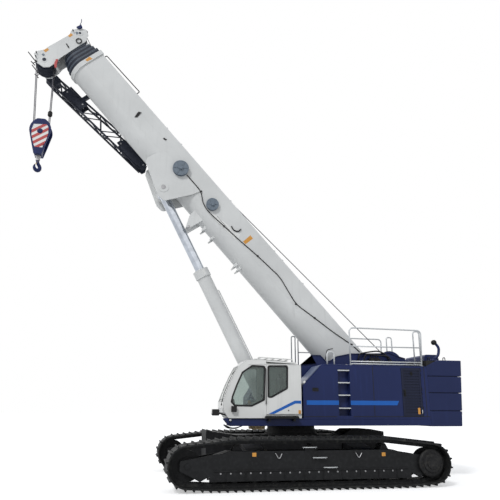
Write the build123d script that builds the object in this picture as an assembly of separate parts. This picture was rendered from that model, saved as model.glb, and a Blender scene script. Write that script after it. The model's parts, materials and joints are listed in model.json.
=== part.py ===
from build123d import *
import math
import os

# Telescopic boom crawler crane, in millimetres.
# +X is forward, +Y is the left side, +Z is up. The origin is on the ground under the slew axis.
# The boom is drawn lying along its own length s, with o across it upwards, and is then raised
# about the Y axis to its parked angle, so s and o places turn into X and Z by one rotation.

# Fits
running_gap = 0.5
seat_gap = 0.3

# Tracks
track_mid_x = 157
track_length = 7300
track_outer_y = 2855
shoe_width = 900
shoe_pitch_count = 78
shoe_phase = 0.35
wheel_radius = 360
chain_height = 100
shoe_plate = 28
grouser_height = 42
top_run_z = 1230
top_run_half = 1950
end_wheel_lift = 40
ground_run_end = 667
chain_half_width = 150
side_frame_y = (2165, 2645)
side_frame_z = (430, 960)
side_frame_x = (-2420, 2700)
roller_radius = 115
roller_count = 11
axle_radius = 60
roller_axle_radius = 35
carrier_radius = 85

# Slew ring and carbody
ring_radius = 720
ring_inner = 610
ring_z = (1220, 1335, 1450)
carbody_half_x = 1150
carbody_half_y = 1150
carbody_z = (430, 1060)
beam_x = 1500
beam_width = 520
beam_z = (470, 960)

# Upper works
deck_z = (1450, 1650)
deck_half_y = 1500
deck_front_x = (2070, 2250)
deck_rear_x = -3720
turret_y = (530, 590)
foot_pin_xz = (-1600, 3100)
foot_pin_radius = 90
lift_base_xz = (750, 2000)
lift_pin_radius = 70
house_top_z = 3100
house_front_x = 40
house_rear_x = -3720
house_inner_y = 640
house_wall = 30
counterweight_seams = (1420, 1850, 2350, 2820, 3290)
ladder_x = (-1330, -980)
ladder_treads_z = (1930, 2280, 2620, 2960)
engine_door_x = (-3510, -2900)
engine_door_z = (1710, 3040)
door_thickness = 40

# Cab
cab_y = (600, 1550)
cab_wall = 40
cab_door_x = (110, 1090)
cab_door_z = (1760, 3070)
cab_door_travel = 700

# Winches
winch_main_xz = (-3100, 3220)
winch_aux_xz = (-2750, 2300)
winch_flange_radius = 410
winch_drum_radius = 345

# Boom
boom_angle = 48
boom_top_o = 4014
boom_belly_o = 2869
boom_half = 475
boom_wall = 15
section_step = 42
section_wall = 11
section_count = 5
boom_butt_s = 900
boom_front_s = 13900
section_tail_s = 1550
section_tail_step = 90
collar_length = 150
collar_rise = 38

# Lift cylinder
lift_eye_so = (9017, 2629)
barrel_radius = 215
barrel_bore = 182
lift_foot_half = 221
rod_radius = 145
barrel_length = 4650
piston_at = 2400

# Boom head and hook
head_sheave_so = (14680, 2450)
head_sheave_radius = 290
rope_radius = 13
hook_block_z = (9600, 10560)
hook_tip_z = 8960


def save(node, shape):
    os.makedirs("parts", exist_ok=True)
    export_step(shape, "parts/" + node + ".step")


def box(x0, x1, y0, y1, z0, z1):
    return Pos((x0 + x1) / 2, (y0 + y1) / 2, (z0 + z1) / 2) * Box(x1 - x0, y1 - y0, z1 - z0)


def slab(points, y0, y1):
    """A plate with its outline given as X, Z points, from y0 to y1 across."""
    outline = Polyline([(x, y0, z) for x, z in points], close=True)
    return extrude(make_face(outline), y1 - y0, dir=(0, 1, 0))


def bar_y(x, z, radius, y0, y1):
    """A round bar along Y."""
    return Pos(x, (y0 + y1) / 2, z) * Rot(90, 0, 0) * Cylinder(radius, y1 - y0)


def rod(start, end, radius):
    """A round bar between two points."""
    a, b = Vector(*start), Vector(*end)
    return extrude(Plane(origin=a, z_dir=b - a) * Circle(radius), (b - a).length)


def mirror_y(shape):
    return mirror(shape, Plane.XZ)


def raised(shape):
    """Turn a boom piece from s and o into its parked place."""
    return Rot(0, -boom_angle, 0) * shape


def so_to_xz(s, o):
    turn = math.radians(boom_angle)
    return s * math.cos(turn) - o * math.sin(turn), s * math.sin(turn) + o * math.cos(turn)


def xz_to_so(x, z):
    turn = math.radians(boom_angle)
    return x * math.cos(turn) + z * math.sin(turn), -x * math.sin(turn) + z * math.cos(turn)


# Tracks: the end wheels are carried a little clear of the ground, the ground run is flat between the
# outer rollers, and the top run bulges over its carriers.
track_rise = wheel_radius + chain_height + shoe_plate + grouser_height
wheel_z = track_rise + end_wheel_lift
idler_x = track_mid_x + track_length / 2 - track_rise
sprocket_x = track_mid_x - track_length / 2 + track_rise
roller_first, roller_last = sprocket_x + ground_run_end, idler_x - ground_run_end


def tangent_slope(run, rise, r):
    """Slope of the straight from a corner of the loop to the wheel circle that it touches."""
    return math.atan2(rise + r, run) - math.asin(r / math.hypot(run, rise + r))


def track_corners(offset):
    """The loop at a distance outside the wheels' rolling line: its lines and arcs, from the rear roller."""
    r = wheel_radius + offset
    low_z, top_z = track_rise - r, top_run_z - (track_rise - r)
    x_rear, x_front = track_mid_x - top_run_half, track_mid_x + top_run_half
    low = tangent_slope(ground_run_end, wheel_z - r - low_z, r)
    top_front = tangent_slope(idler_x - x_front, top_z - wheel_z - r, r)
    top_rear = tangent_slope(x_rear - sprocket_x, top_z - wheel_z - r, r)

    def on_wheel(x, angle):
        return x + r * math.cos(angle), wheel_z + r * math.sin(angle)

    front = (low - math.pi / 2, math.pi / 2 - top_front)
    rear = (math.pi / 2 + top_rear, 3 * math.pi / 2 - low)
    return r, (
        ("line", (roller_first, low_z), (roller_last, low_z)),
        ("line", (roller_last, low_z), on_wheel(idler_x, front[0])),
        ("arc", idler_x, *front),
        ("line", on_wheel(idler_x, front[1]), (x_front, top_z)),
        ("line", (x_front, top_z), (x_rear, top_z)),
        ("line", (x_rear, top_z), on_wheel(sprocket_x, rear[0])),
        ("arc", sprocket_x, *rear),
        ("line", on_wheel(sprocket_x, rear[1]), (roller_first, low_z)),
    )


def track_samples(offset, count):
    """A function that gives points on the loop with their outward normals, and the pitch of the shoes."""
    r, corners = track_corners(offset)
    lengths = [math.dist(*rest) if kind == "line" else r * (rest[2] - rest[1]) for kind, *rest in corners]

    def at(distance):
        distance = distance % sum(lengths)
        for (kind, *rest), length in zip(corners, lengths):
            if distance <= length:
                break
            distance -= length
        share = distance / length
        if kind == "line":
            (x0, z0), (x1, z1) = rest
            return x0 + (x1 - x0) * share, z0 + (z1 - z0) * share, (z1 - z0) / length, (x0 - x1) / length
        x, a0, a1 = rest
        angle = a0 + (a1 - a0) * share
        return x + r * math.cos(angle), wheel_z + r * math.sin(angle), math.cos(angle), math.sin(angle)

    return at, sum(lengths) / count


def track_face(offset):
    """The closed face inside the loop at that offset, with true arcs at its ends."""
    r, corners = track_corners(offset)
    edges = []
    for kind, *rest in corners:
        if kind == "line":
            (x0, z0), (x1, z1) = rest
            edges.append(Line((x0, 0, z0), (x1, 0, z1)))
        else:
            x, a0, a1 = rest
            places = [(x + r * math.cos(a), 0, wheel_z + r * math.sin(a)) for a in (a0, (a0 + a1) / 2, a1)]
            edges.append(ThreePointArc(*places))
    return make_face(edges)


# One shoe's outline along the loop: share of the pitch, height above the shoe's inner face.
shoe_outline = (
    (0.02, 0.35 * shoe_plate),
    (0.08, shoe_plate),
    (0.66, shoe_plate),
    (0.72, shoe_plate + grouser_height),
    (0.84, shoe_plate + grouser_height),
    (0.90, shoe_plate),
)


def make_track(y_mid):
    at, pitch = track_samples(chain_height, shoe_pitch_count)
    points = []
    for index in range(shoe_pitch_count):
        for share, height in shoe_outline:
            x, z, nx, nz = at((index + share - shoe_phase) * pitch)
            points.append((x + nx * height, z + nz * height))
    band = slab(points, y_mid - shoe_width / 2, y_mid + shoe_width / 2)
    inner = extrude(track_face(chain_height - 12), shoe_width, dir=(0, 1, 0))
    band -= Pos(0, y_mid - shoe_width / 2, 0) * inner
    chain_outer = extrude(track_face(chain_height - 6), 2 * chain_half_width, dir=(0, 1, 0))
    chain_inner = extrude(track_face(seat_gap), 2 * chain_half_width, dir=(0, 1, 0))
    return band + Pos(0, y_mid - chain_half_width, 0) * (chain_outer - chain_inner)


track_y = track_outer_y - shoe_width / 2
left_track = make_track(track_y)
save("track_left", left_track)
save("track_right", mirror_y(left_track))


roller_z = track_rise - wheel_radius + roller_radius
roller_places = [roller_first + (roller_last - roller_first) * index / (roller_count - 1)
                 for index in range(roller_count)]


def make_wheels():
    """Idler, sprocket, ground rollers and carriers of the left track, each on its own axle."""
    wheels = []
    axle = (side_frame_y[0] - 40, side_frame_y[1] + 40)
    for x, radius in ((idler_x, wheel_radius), (sprocket_x, wheel_radius)):
        wheels.append(bar_y(x, wheel_z, radius, track_y - 60, track_y + 60)
                      + bar_y(x, wheel_z, 0.55 * radius, track_y - 130, track_y + 130)
                      + bar_y(x, wheel_z, axle_radius, axle[0], axle[1]))
    for x in roller_places:
        z = roller_z
        wheels.append(bar_y(x, z, roller_radius, track_y - 130, track_y + 130)
                      + bar_y(x, z, roller_axle_radius, axle[0] + 30, axle[1] - 30))
    return wheels


wheel_solids = make_wheels()
save("track_wheels_left", Compound(wheel_solids))
save("track_wheels_right", mirror_y(Compound(wheel_solids)))


def make_side_frame():
    """The left side frame: a box girder with cheeks that hold the roller and idler axles."""
    x0, x1 = side_frame_x
    y0, y1 = side_frame_y
    z0, z1 = side_frame_z
    girder = slab(((x0, z0), (x1, z0), (x1, z1 - 160), (x1 - 420, z1), (x0 + 420, z1), (x0, z1 - 160)), y0, y1)
    for y in (y0, y1 - 30):
        girder += slab(((sprocket_x - 190, 470), (sprocket_x + 420, 215), (idler_x - 420, 215),
                        (idler_x + 190, 470), (idler_x + 190, 690), (x1 - 300, z1 - 60),
                        (x0 + 300, z1 - 60), (sprocket_x - 190, 690)), y, y + 30)
    for x in (idler_x, sprocket_x):
        girder -= bar_y(x, wheel_z, axle_radius + seat_gap, y0 - 1, y1 + 1)
    for x in roller_places:
        girder -= bar_y(x, roller_z, roller_axle_radius + seat_gap, y0 - 1, y1 + 1)
    return girder


side_frame = make_side_frame()
save("track_frame_left", side_frame)
save("track_frame_right", mirror_y(side_frame))

# Final drives: a stepped hub outside each sprocket.
final_drive = (bar_y(sprocket_x, wheel_z, 250, side_frame_y[1] + 40 + seat_gap, track_outer_y - 60)
               + bar_y(sprocket_x, wheel_z, 160, side_frame_y[1] + 40 + seat_gap, track_outer_y - 20))
save("final_drive_left", final_drive)
save("final_drive_right", mirror_y(final_drive))

# Carbody
carbody = box(-carbody_half_x, carbody_half_x, -carbody_half_y, carbody_half_y, *carbody_z)
carbody += Pos(0, 0, (carbody_z[1] + ring_z[0]) / 2) * Cylinder(ring_radius + 60, ring_z[0] - carbody_z[1])
for x in (-beam_x, beam_x):
    carbody += box(x - beam_width / 2, x + beam_width / 2, -side_frame_y[0], side_frame_y[0], *beam_z)
    carbody += box(min(x, 0), max(x, 0), -700, 700, *beam_z)
save("carbody", carbody)

ring_lower = Pos(0, 0, (ring_z[0] + ring_z[1] - seat_gap) / 2) * (
    Cylinder(ring_radius, ring_z[1] - seat_gap - ring_z[0]) - Cylinder(ring_inner, 500))
save("slew_ring_lower", ring_lower)
ring_upper = Pos(0, 0, (ring_z[1] + ring_z[2]) / 2) * (
    Cylinder(ring_radius - 25, ring_z[2] - ring_z[1]) - Cylinder(ring_inner, 500))
save("slew_ring_upper", ring_upper)

# Deck: a flat frame with a sloping nose and pockets between its ribs.
deck = slab(((deck_rear_x, deck_z[0]), (deck_front_x[0], deck_z[0]), (deck_front_x[1], deck_z[1] - 30),
             (deck_front_x[1], deck_z[1]), (deck_rear_x, deck_z[1])), -deck_half_y, deck_half_y)
pocket_count = 5
pocket_pitch = (deck_front_x[0] - 60 - deck_rear_x - 60) / pocket_count
for index in range(pocket_count):
    x0 = deck_rear_x + 60 + index * pocket_pitch
    for y0, y1 in ((-deck_half_y + 40, -780), (780, deck_half_y - 40)):
        deck -= box(x0 + 15, x0 + pocket_pitch - 15, y0, y1, deck_z[0] - 1, deck_z[1] - 20)
save("turntable_deck", deck)

# Boom foot frame: two tall plates with the foot pin and the lift cylinder's base pin.
turret_outline = ((-3500, deck_z[1]), (1080, deck_z[1]), (1080, 2080), (930, 2230), (640, 2260), (-120, 2700),
                  (-480, 3470), (-750, 3480), (-970, 3330), (-1300, 3420), (-1750, 3510), (-2000, 3530),
                  (-3350, 3560), (-3520, 3400))
turret = slab(turret_outline, *turret_y)
for x, z, radius in ((*foot_pin_xz, foot_pin_radius), (*lift_base_xz, lift_pin_radius)):
    turret += bar_y(x, z, radius + 110, turret_y[0], turret_y[1] + 5)
    turret -= bar_y(x, z, radius + seat_gap, 0, 1000)
for y in (turret_y[0],):
    turret += box(-3500, 1080, 350, y, deck_z[1], deck_z[1] + 40)
turret = turret + mirror_y(turret)
turret += box(-900, -700, -turret_y[0], turret_y[0], deck_z[1], 2300)
save("boom_foot_frame", turret)
pins = [bar_y(*foot_pin_xz, foot_pin_radius, -turret_y[1] - 6, turret_y[1] + 6)]
lift_base_pin = bar_y(*lift_base_xz, lift_pin_radius, lift_foot_half + seat_gap, turret_y[1] + 6)
pins += [lift_base_pin, mirror_y(lift_base_pin)]
save("foot_pins", Compound(pins))

# Machinery houses
house_outline = ((house_rear_x, deck_z[1]), (house_front_x, deck_z[1]), (house_front_x, 2530),
                 (-520, house_top_z), (house_rear_x, house_top_z))
house_core = ((house_rear_x + house_wall, deck_z[1] - 1), (house_front_x - house_wall, deck_z[1] - 1),
              (house_front_x - house_wall, 2530 - 12), (-520 - 12, house_top_z - house_wall),
              (house_rear_x + house_wall, house_top_z - house_wall))


def make_house(outline, core):
    shell = slab(outline, house_inner_y, deck_half_y)
    return shell - slab(core, house_inner_y + house_wall, deck_half_y - house_wall)


left_house = make_house(house_outline, house_core)
recess_depth = 190
recess = box(ladder_x[0], ladder_x[1], deck_half_y - recess_depth, deck_half_y + 1, deck_z[1] + 60, 2975)
recess_skin = box(ladder_x[0] - 20, ladder_x[1] + 20, deck_half_y - recess_depth - 20, deck_half_y - 1,
                  deck_z[1], 2995)
left_house = left_house + recess_skin - recess
door_gap = 6
left_house -= box(engine_door_x[0] - door_gap, engine_door_x[1] + door_gap, deck_half_y - house_wall - 1,
                  deck_half_y + 1, engine_door_z[0] - door_gap, engine_door_z[1] + door_gap)
hinge_x, hinge_y, hinge_radius = engine_door_x[0] - 3, deck_half_y + 14, 14
hinge_bottoms = (1800, 2330, 2860)
knuckle = 80
for z in hinge_bottoms:
    left_house += Pos(hinge_x, hinge_y, z + knuckle / 2) * Cylinder(hinge_radius, knuckle)
    left_house += box(hinge_x - 50, hinge_x, deck_half_y - 1, deck_half_y + 8, z, z + knuckle)
save("house_left", left_house)

treads = []
for z in ladder_treads_z[:3]:
    treads.append(box(ladder_x[0] + seat_gap, ladder_x[1] - seat_gap, deck_half_y - recess_depth + 10,
                      deck_half_y - 5, z - 30, z))
treads.append(box(ladder_x[0] + seat_gap, ladder_x[1] - seat_gap, deck_half_y - recess_depth + 10,
                  deck_half_y - 5, 2930, 2960))
save("ladder_treads", Compound(treads))

right_top_z = 2960
right_front_x = 1150
right_outline = ((house_rear_x, deck_z[1]), (right_front_x, deck_z[1]), (right_front_x, 2250),
                 (700, right_top_z), (house_rear_x, right_top_z))
right_core = ((house_rear_x + house_wall, deck_z[1] - 1), (right_front_x - house_wall, deck_z[1] - 1),
              (right_front_x - house_wall, 2240), (690, right_top_z - house_wall),
              (house_rear_x + house_wall, right_top_z - house_wall))
save("house_right", mirror_y(make_house(right_outline, right_core)))

engine = box(-3380, -2050, 760, 1400, deck_z[1] + 40, 2750)
engine += box(-3200, -2250, 860, 1300, deck_z[1] + seat_gap, deck_z[1] + 60)
save("engine_block", engine)

# Engine door: a louvred leaf hung at its rear edge.
door_y = (deck_half_y - door_thickness + 10, deck_half_y + 10)
engine_door = box(*engine_door_x, *door_y, *engine_door_z)
engine_door -= Pos(hinge_x, hinge_y, 2375) * Cylinder(hinge_radius + 4, 1400)
for z in hinge_bottoms:
    low = z + knuckle + running_gap
    engine_door += Pos(hinge_x, hinge_y, low + knuckle / 2) * Cylinder(hinge_radius, knuckle)
    engine_door += box(hinge_x, hinge_x + 50, deck_half_y + 1, deck_half_y + 10, low, low + knuckle)
louvre_count = 16
for index in range(louvre_count):
    z = engine_door_z[0] + 90 + index * (engine_door_z[1] - engine_door_z[0] - 180) / (louvre_count - 1)
    engine_door -= box(engine_door_x[0] + 60, engine_door_x[1] - 60, door_y[1] - 18, door_y[1] + 1, z - 18, z + 18)
save("engine_door", engine_door)

# Counterweight slabs
for index in range(4):
    z0, z1 = counterweight_seams[index], counterweight_seams[index + 1]
    rear_low, rear_high = -4700 - 38 * index, -4735 - 38 * index
    front = house_rear_x - seat_gap
    slab_solid = slab(((front, z0), (front, z1), (rear_high, z1), (rear_low, z0)),
                      -deck_half_y, deck_half_y)
    save("counterweight_" + str(index + 1), slab_solid)

# Winches
def make_winch(x, z):
    drum = bar_y(x, z, winch_drum_radius, -turret_y[0] + 130, turret_y[0] - 130)
    for side in (-1, 1):
        y = side * (turret_y[0] - 115)
        drum += bar_y(x, z, winch_flange_radius, min(y, y - side * 30), max(y, y - side * 30))
        hub = side * (turret_y[0] - seat_gap)
        drum += bar_y(x, z, 190, min(y, hub), max(y, hub))
    return drum


save("winch_main", make_winch(*winch_main_xz))
save("winch_aux", make_winch(*winch_aux_xz))

# Cab: a curved shell, hollow, with its window and door openings.
cab_front = ((2140, 1670), (2230, 1810), (2260, 1920), (2260, 2070), (2190, 2260), (2100, 2490), (1980, 2750),
             (1840, 3010), (1640, 3170))
cab_base_z = deck_z[1] + seat_gap
cab_outline = ((100, cab_base_z), (2120, cab_base_z), *cab_front, (1300, 3190), (250, 3140), (200, 3080), (100, 2700))


def inset(points, distance):
    """The same outline, moved inwards by a distance."""
    outline = make_face(Polyline([(x, 0, z) for x, z in points], close=True))
    return offset(outline, -distance, kind=Kind.INTERSECTION)


cab_solid = slab(cab_outline, *cab_y)
cab_inner = extrude(inset(cab_outline, cab_wall), cab_y[1] - cab_y[0] - 2 * cab_wall, dir=(0, 1, 0))
cab_shell = cab_solid - Pos(0, cab_y[0] + cab_wall, 0) * cab_inner
door_face_y = 1552
door_back_y = 1512
cab_shell -= box(90, cab_door_x[1] + 6, door_back_y - 7, 1600, 1600, 3300)
cab_shell += box(105, cab_door_x[1] + 6, door_back_y - 47, door_back_y - 7, cab_base_z, 1790)
side_window = ((2040, 2070), (1960, 1990), (1500, 1980), (1170, 2130), (1150, 3000), (1490, 3010),
               (1750, 2830), (1900, 2500), (2010, 2210))
rear_window = ((1030, 3010), (510, 3020), (520, 2440), (950, 2210), (1030, 2210))
cab_shell -= slab(side_window, cab_y[0] - 10, cab_y[1] + 10)
cab_shell -= box(cab_door_x[0] + 90, cab_door_x[1] - 60, door_back_y - 60, 1600, cab_door_z[0] + 40,
                 cab_door_z[1] - 60)
cab_shell -= box(1950, 2400, cab_y[0] + 90, cab_y[1] - 90, 2150, 2800)
cab_shell -= box(60, 260, cab_y[0] + 150, cab_y[1] - 200, 2250, 2650)
save("cab_shell", cab_shell)

cab_door = box(*cab_door_x, door_back_y, door_face_y, *cab_door_z)
cab_door -= slab(rear_window, door_back_y - 1, door_face_y + 1)
for z in (1765, 3030):
    cab_door += box(1020, 1080, door_back_y - 7 + seat_gap, door_back_y, z, z + 22)
save("cab_door", cab_door)
door_glass = slab(rear_window, door_back_y + 15, door_back_y + 23)
save("cab_door_glass", door_glass)

side_glass = slab(side_window, cab_y[1] - 26, cab_y[1] - 18)
save("cab_side_glass", side_glass)
front_glass = box(1950, 1960, cab_y[0] + 95, cab_y[1] - 95, 2150, 2800)

seat = box(560, 1060, 850, 1300, cab_base_z + cab_wall + seat_gap, 2150)
seat += box(520, 680, 850, 1300, 2100, 2850)
save("cab_seat", seat)

cab_hatch = box(350, 1300, 720, 1420, 3190 + seat_gap, 3250)
save("cab_roof_guard", Pos(0, 0, 0) * cab_hatch)

cab_step = box(220, 1170, cab_y[1] + 5, cab_y[1] + 180, 1640, 1700)
cab_step += box(300, 360, cab_y[1] - 60, cab_y[1] + 10, 1655, 1690)

# Railings: rows of post places along X, and rail heights.
rail_radius = 22


def railing(y, posts, rails, base_z):
    top = max(rails)
    frame = None
    for x in posts:
        post = rod((x, y, base_z), (x, y, top), rail_radius)
        frame = post if frame is None else frame + post
    for z in rails:
        frame += rod((posts[0], y, z), (posts[-1], y, z), rail_radius)
    return frame


save("railing_left", railing(1440, (-3650, -2900, -2150, -1390), (3200, 3620, 4160), house_top_z + seat_gap))
save("railing_right", mirror_y(railing(1440, (-3650, -3125, -2600), (3200, 3620, 4210), right_top_z + seat_gap)))


# Boom sections: one profile with flat sides, a flat top and a round belly, stepped inwards.
def boom_profile(half, top, belly):
    spring = belly + half
    return Pos(0, (top + spring) / 2) * Rectangle(2 * half, top - spring) + Pos(0, spring) * Circle(half)


def boom_solid(inset_by, s0, s1):
    """A solid length of the boom's outer shape, moved inwards all round."""
    half = boom_half - inset_by
    sketch = boom_profile(half, boom_top_o - inset_by, boom_belly_o + inset_by)
    return extrude(Plane.YZ.offset(s0) * sketch, s1 - s0)


def section_sizes(number):
    """Inset, wall, tail and front of a boom section, where section 1 is the outer one."""
    step = (number - 1) * section_step
    wall = boom_wall if number == 1 else section_wall
    tail = boom_butt_s if number == 1 else section_tail_s + (number - 2) * section_tail_step
    return step, wall, tail, boom_front_s + (number - 1) * collar_length


def make_section(number):
    step, wall, tail, front = section_sizes(number)
    body = boom_solid(step, tail, front) - boom_solid(step + wall, tail - 1, front + 1)
    if number < section_count:
        inner_step = number * section_step
        body += boom_solid(step - collar_rise, front - collar_length, front) - boom_solid(
            inner_step - running_gap, front - collar_length - 1, front + 1)
    if number > 1:
        outer_step, outer_wall, _, _ = section_sizes(number - 1)
        body += boom_solid(outer_step + outer_wall + running_gap, tail, tail + 250) - boom_solid(
            step + wall, tail - 1, tail + 251)
    return body


base = make_section(1)
foot_s, foot_o = xz_to_so(*foot_pin_xz)
for side in (-1, 1):
    base += bar_y(foot_s, foot_o, 230, min(side * 440, side * 525), max(side * 440, side * 525))
base -= bar_y(foot_s, foot_o, foot_pin_radius + running_gap, -600, 600)
lug_outline = ((8480, 3440), (8890, 2470), (8960, 2430), (9090, 2430), (9190, 2490), (9560, 2860), (10000, 3440))
eye_s, eye_o = lift_eye_so
for side in (-1, 1):
    base += slab(lug_outline, min(side * 472, side * 510), max(side * 472, side * 510))
    base += bar_y(eye_s, eye_o, 165, min(side * 215, side * 500), max(side * 215, side * 500))
base -= bar_y(eye_s, eye_o, lift_pin_radius + running_gap, -600, 600)
save("boom_base", raised(base))
for number in range(2, section_count + 1):
    save("boom_section_" + str(number), raised(make_section(number)))

lift_pin = bar_y(eye_s, eye_o, lift_pin_radius, -540, 540)
save("lift_head_pin", raised(lift_pin))

reels = []
for s, o, radius, y in ((9160, 3440, 250, 510), (7850, 3460, 175, boom_half)):
    reels.append(bar_y(s, o, radius, y + seat_gap, y + 110) + bar_y(s, o, 60, y + 100, y + 150))
save("cable_reels", raised(Compound(reels)))

# Boom head: two side plates with the sheaves between them.
head_outline = ((14400, 3900), (14560, 4180), (14760, 4260), (15100, 4200), (15120, 3300), (15020, 2600),
                (14900, 2200), (14500, 2160), (14360, 2350), (14400, 3000))
head_y = boom_half - 4 * section_step
head = slab(head_outline, head_y, head_y + 33)
head = head + mirror_y(head)
head += box(14560, 15080, -head_y, head_y, 3500, 3530)
head -= bar_y(*head_sheave_so, 60 + seat_gap, -500, 500)
save("boom_head", raised(head))
sheaves = bar_y(*head_sheave_so, 60, -head_y - 45, head_y + 45)
for index in range(5):
    y = -200 + 100 * index
    sheaves += bar_y(*head_sheave_so, head_sheave_radius, y - 35, y + 35)
save("head_sheaves", raised(sheaves))

# Stowed jib on the boom's right side: a square lattice tapering towards the head.
jib = None
jib_y = -760
for s0, o0, s1, o1 in ((10150, 3150, 14500, 3000), (10150, 2650, 14500, 2500)):
    for y in (jib_y - 160, jib_y + 160):
        chord = rod((s0, y, o0), (s1, y, o1), 35)
        jib = chord if jib is None else jib + chord
bay_count = 8
for index in range(bay_count + 1):
    share = index / bay_count
    s = 10150 + 4350 * share
    o = 3150 - 150 * share
    for y in (jib_y - 160, jib_y + 160):
        jib += rod((s, y, o), (s, y, o - 500), 22)
    for level in (o, o - 500):
        jib += rod((s, jib_y - 160, level), (s, jib_y + 160, level), 22)
for s in (10700, 13300):
    jib += box(s - 60, s + 60, jib_y + 160, -boom_half - seat_gap, 3080, 3460)
save("stowed_jib", raised(jib))

# Lift cylinder
eye_x, eye_z = so_to_xz(*lift_eye_so)
base_x, base_z = lift_base_xz
lift_length = math.dist((eye_x, eye_z), (base_x, base_z))
lift_tilt = math.degrees(math.atan2(eye_z - base_z, eye_x - base_x))


def along_lift(shape):
    """Move a piece drawn along +X from the base pin onto the cylinder's line."""
    return Pos(base_x, 0, base_z) * Rot(0, -lift_tilt, 0) * shape


def bar_x(x0, x1, radius):
    return Pos((x0 + x1) / 2, 0, 0) * Rot(0, 90, 0) * Cylinder(radius, x1 - x0)


barrel = bar_x(150, barrel_length, barrel_radius) - bar_x(330, barrel_length + 1, barrel_bore)
barrel += bar_x(barrel_length - 190, barrel_length, barrel_radius + 28) - bar_x(
    barrel_length - 191, barrel_length + 1, rod_radius + 1)
barrel += bar_y(0, 0, 190, -lift_foot_half, lift_foot_half)
barrel -= bar_y(0, 0, lift_pin_radius + running_gap, -300, 300)
save("lift_barrel", along_lift(barrel))

piston_rod = bar_x(piston_at, lift_length - 120, rod_radius) + bar_x(piston_at, piston_at + 160, barrel_bore - 1)
piston_rod += bar_y(lift_length, 0, 165, -205, 205)
piston_rod -= bar_y(lift_length, 0, lift_pin_radius + running_gap, -300, 300)
save("lift_rod", along_lift(piston_rod))

# Hook: rope falls from the head sheaves, the block and the hook.
sheave_x, sheave_z = so_to_xz(*head_sheave_so)
block_x = sheave_x - 90
block_sheave_z = 10080
falls = []
fall_reach = head_sheave_radius + rope_radius + seat_gap
for side in (-1, 1):
    foot = block_x + side * 190
    lean = math.atan2(side * (sheave_x + side * fall_reach - foot), sheave_z - hook_block_z[1])
    top = (sheave_x + side * fall_reach * math.cos(lean), sheave_z - fall_reach * math.sin(lean))
    for y in (-100, 100):
        falls.append(rod((top[0], y, top[1]), (foot, y, hook_block_z[1] + 2), rope_radius))
save("rope_falls", Compound(falls))

block = slab(((block_x - 220, hook_block_z[0] + 200), (block_x - 220, hook_block_z[1] - 120),
              (block_x - 215, hook_block_z[1]), (block_x + 215, hook_block_z[1]),
              (block_x + 220, hook_block_z[1] - 120), (block_x + 220, hook_block_z[0] + 200),
              (block_x + 120, hook_block_z[0]), (block_x - 120, hook_block_z[0])), -180, 180)
save("hook_block", block)

hook = rod((block_x, 0, hook_block_z[0] - seat_gap), (block_x, 0, hook_block_z[0] - 300), 55)
hook += Pos(block_x, 0, hook_tip_z + 190) * Rot(90, 0, 0) * (Cylinder(190, 90) - Cylinder(90, 100))
hook -= box(block_x + 40, block_x + 300, -100, 100, hook_tip_z + 190, hook_tip_z + 500)
save("hook", hook)
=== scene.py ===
import json
import math

import bmesh
import bpy
from mathutils import Matrix, Vector
from mathutils.geometry import convex_hull_2d


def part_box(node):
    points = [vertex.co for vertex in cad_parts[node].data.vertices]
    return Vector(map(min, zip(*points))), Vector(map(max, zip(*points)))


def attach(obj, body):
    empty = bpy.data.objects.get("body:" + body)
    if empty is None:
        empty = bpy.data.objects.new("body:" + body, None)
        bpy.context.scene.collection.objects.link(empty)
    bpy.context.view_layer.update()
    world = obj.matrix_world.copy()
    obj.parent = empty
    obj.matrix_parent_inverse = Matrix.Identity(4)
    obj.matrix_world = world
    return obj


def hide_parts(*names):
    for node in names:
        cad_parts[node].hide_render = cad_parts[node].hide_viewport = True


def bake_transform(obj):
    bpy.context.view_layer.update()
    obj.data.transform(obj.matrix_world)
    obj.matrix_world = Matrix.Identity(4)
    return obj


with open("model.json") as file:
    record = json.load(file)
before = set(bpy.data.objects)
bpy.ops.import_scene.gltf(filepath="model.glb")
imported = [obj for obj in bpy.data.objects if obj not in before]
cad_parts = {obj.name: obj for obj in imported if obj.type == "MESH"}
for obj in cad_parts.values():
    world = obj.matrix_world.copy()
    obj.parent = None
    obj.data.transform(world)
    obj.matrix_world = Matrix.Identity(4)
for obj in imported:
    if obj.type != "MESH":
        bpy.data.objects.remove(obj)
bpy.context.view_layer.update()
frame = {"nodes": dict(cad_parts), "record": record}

# The photograph's camera, in metres, radians and pixels of a 500 pixel frame
CAMERA_PLACE = (4.64, 16.722, 1.882)
CAMERA_TURN, CAMERA_PITCH, CAMERA_ROLL = math.radians(11.48), math.radians(15.93), math.radians(0.17)
FOCAL_PIXELS, FRAME_PIXELS, SENSOR = 557.67, 500, 36.0

# Boom frame: s runs along the boom and o across it, upwards
BOOM_ANGLE = math.radians(48)
BOOM_TOP = 4.014
BOOM_HALF = 0.475
DECK_HALF = 1.5
SECTION_BODIES = ("boom", "section_2", "section_3", "section_4", "section_5")


def so(s, o, y=0.0):
    """A place in the boom frame as a place in the row frame."""
    c, n = math.cos(BOOM_ANGLE), math.sin(BOOM_ANGLE)
    return Vector((s * c - o * n, y, s * n + o * c))


# Meshes
def finish_piece(name, mesh, body, material, smooth=False):
    piece = bpy.data.objects.new(name, mesh)
    bpy.context.scene.collection.objects.link(piece)
    mesh.materials.append(material)
    for face in mesh.polygons:
        face.use_smooth = smooth
    if body:
        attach(piece, body)
    return piece


def new_mesh(name, build):
    """A mesh filled by a function that is given an empty bmesh."""
    bm = bmesh.new()
    build(bm)
    bmesh.ops.recalc_face_normals(bm, faces=bm.faces)
    mesh = bpy.data.meshes.new(name)
    bm.to_mesh(mesh)
    bm.free()
    return mesh


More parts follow.
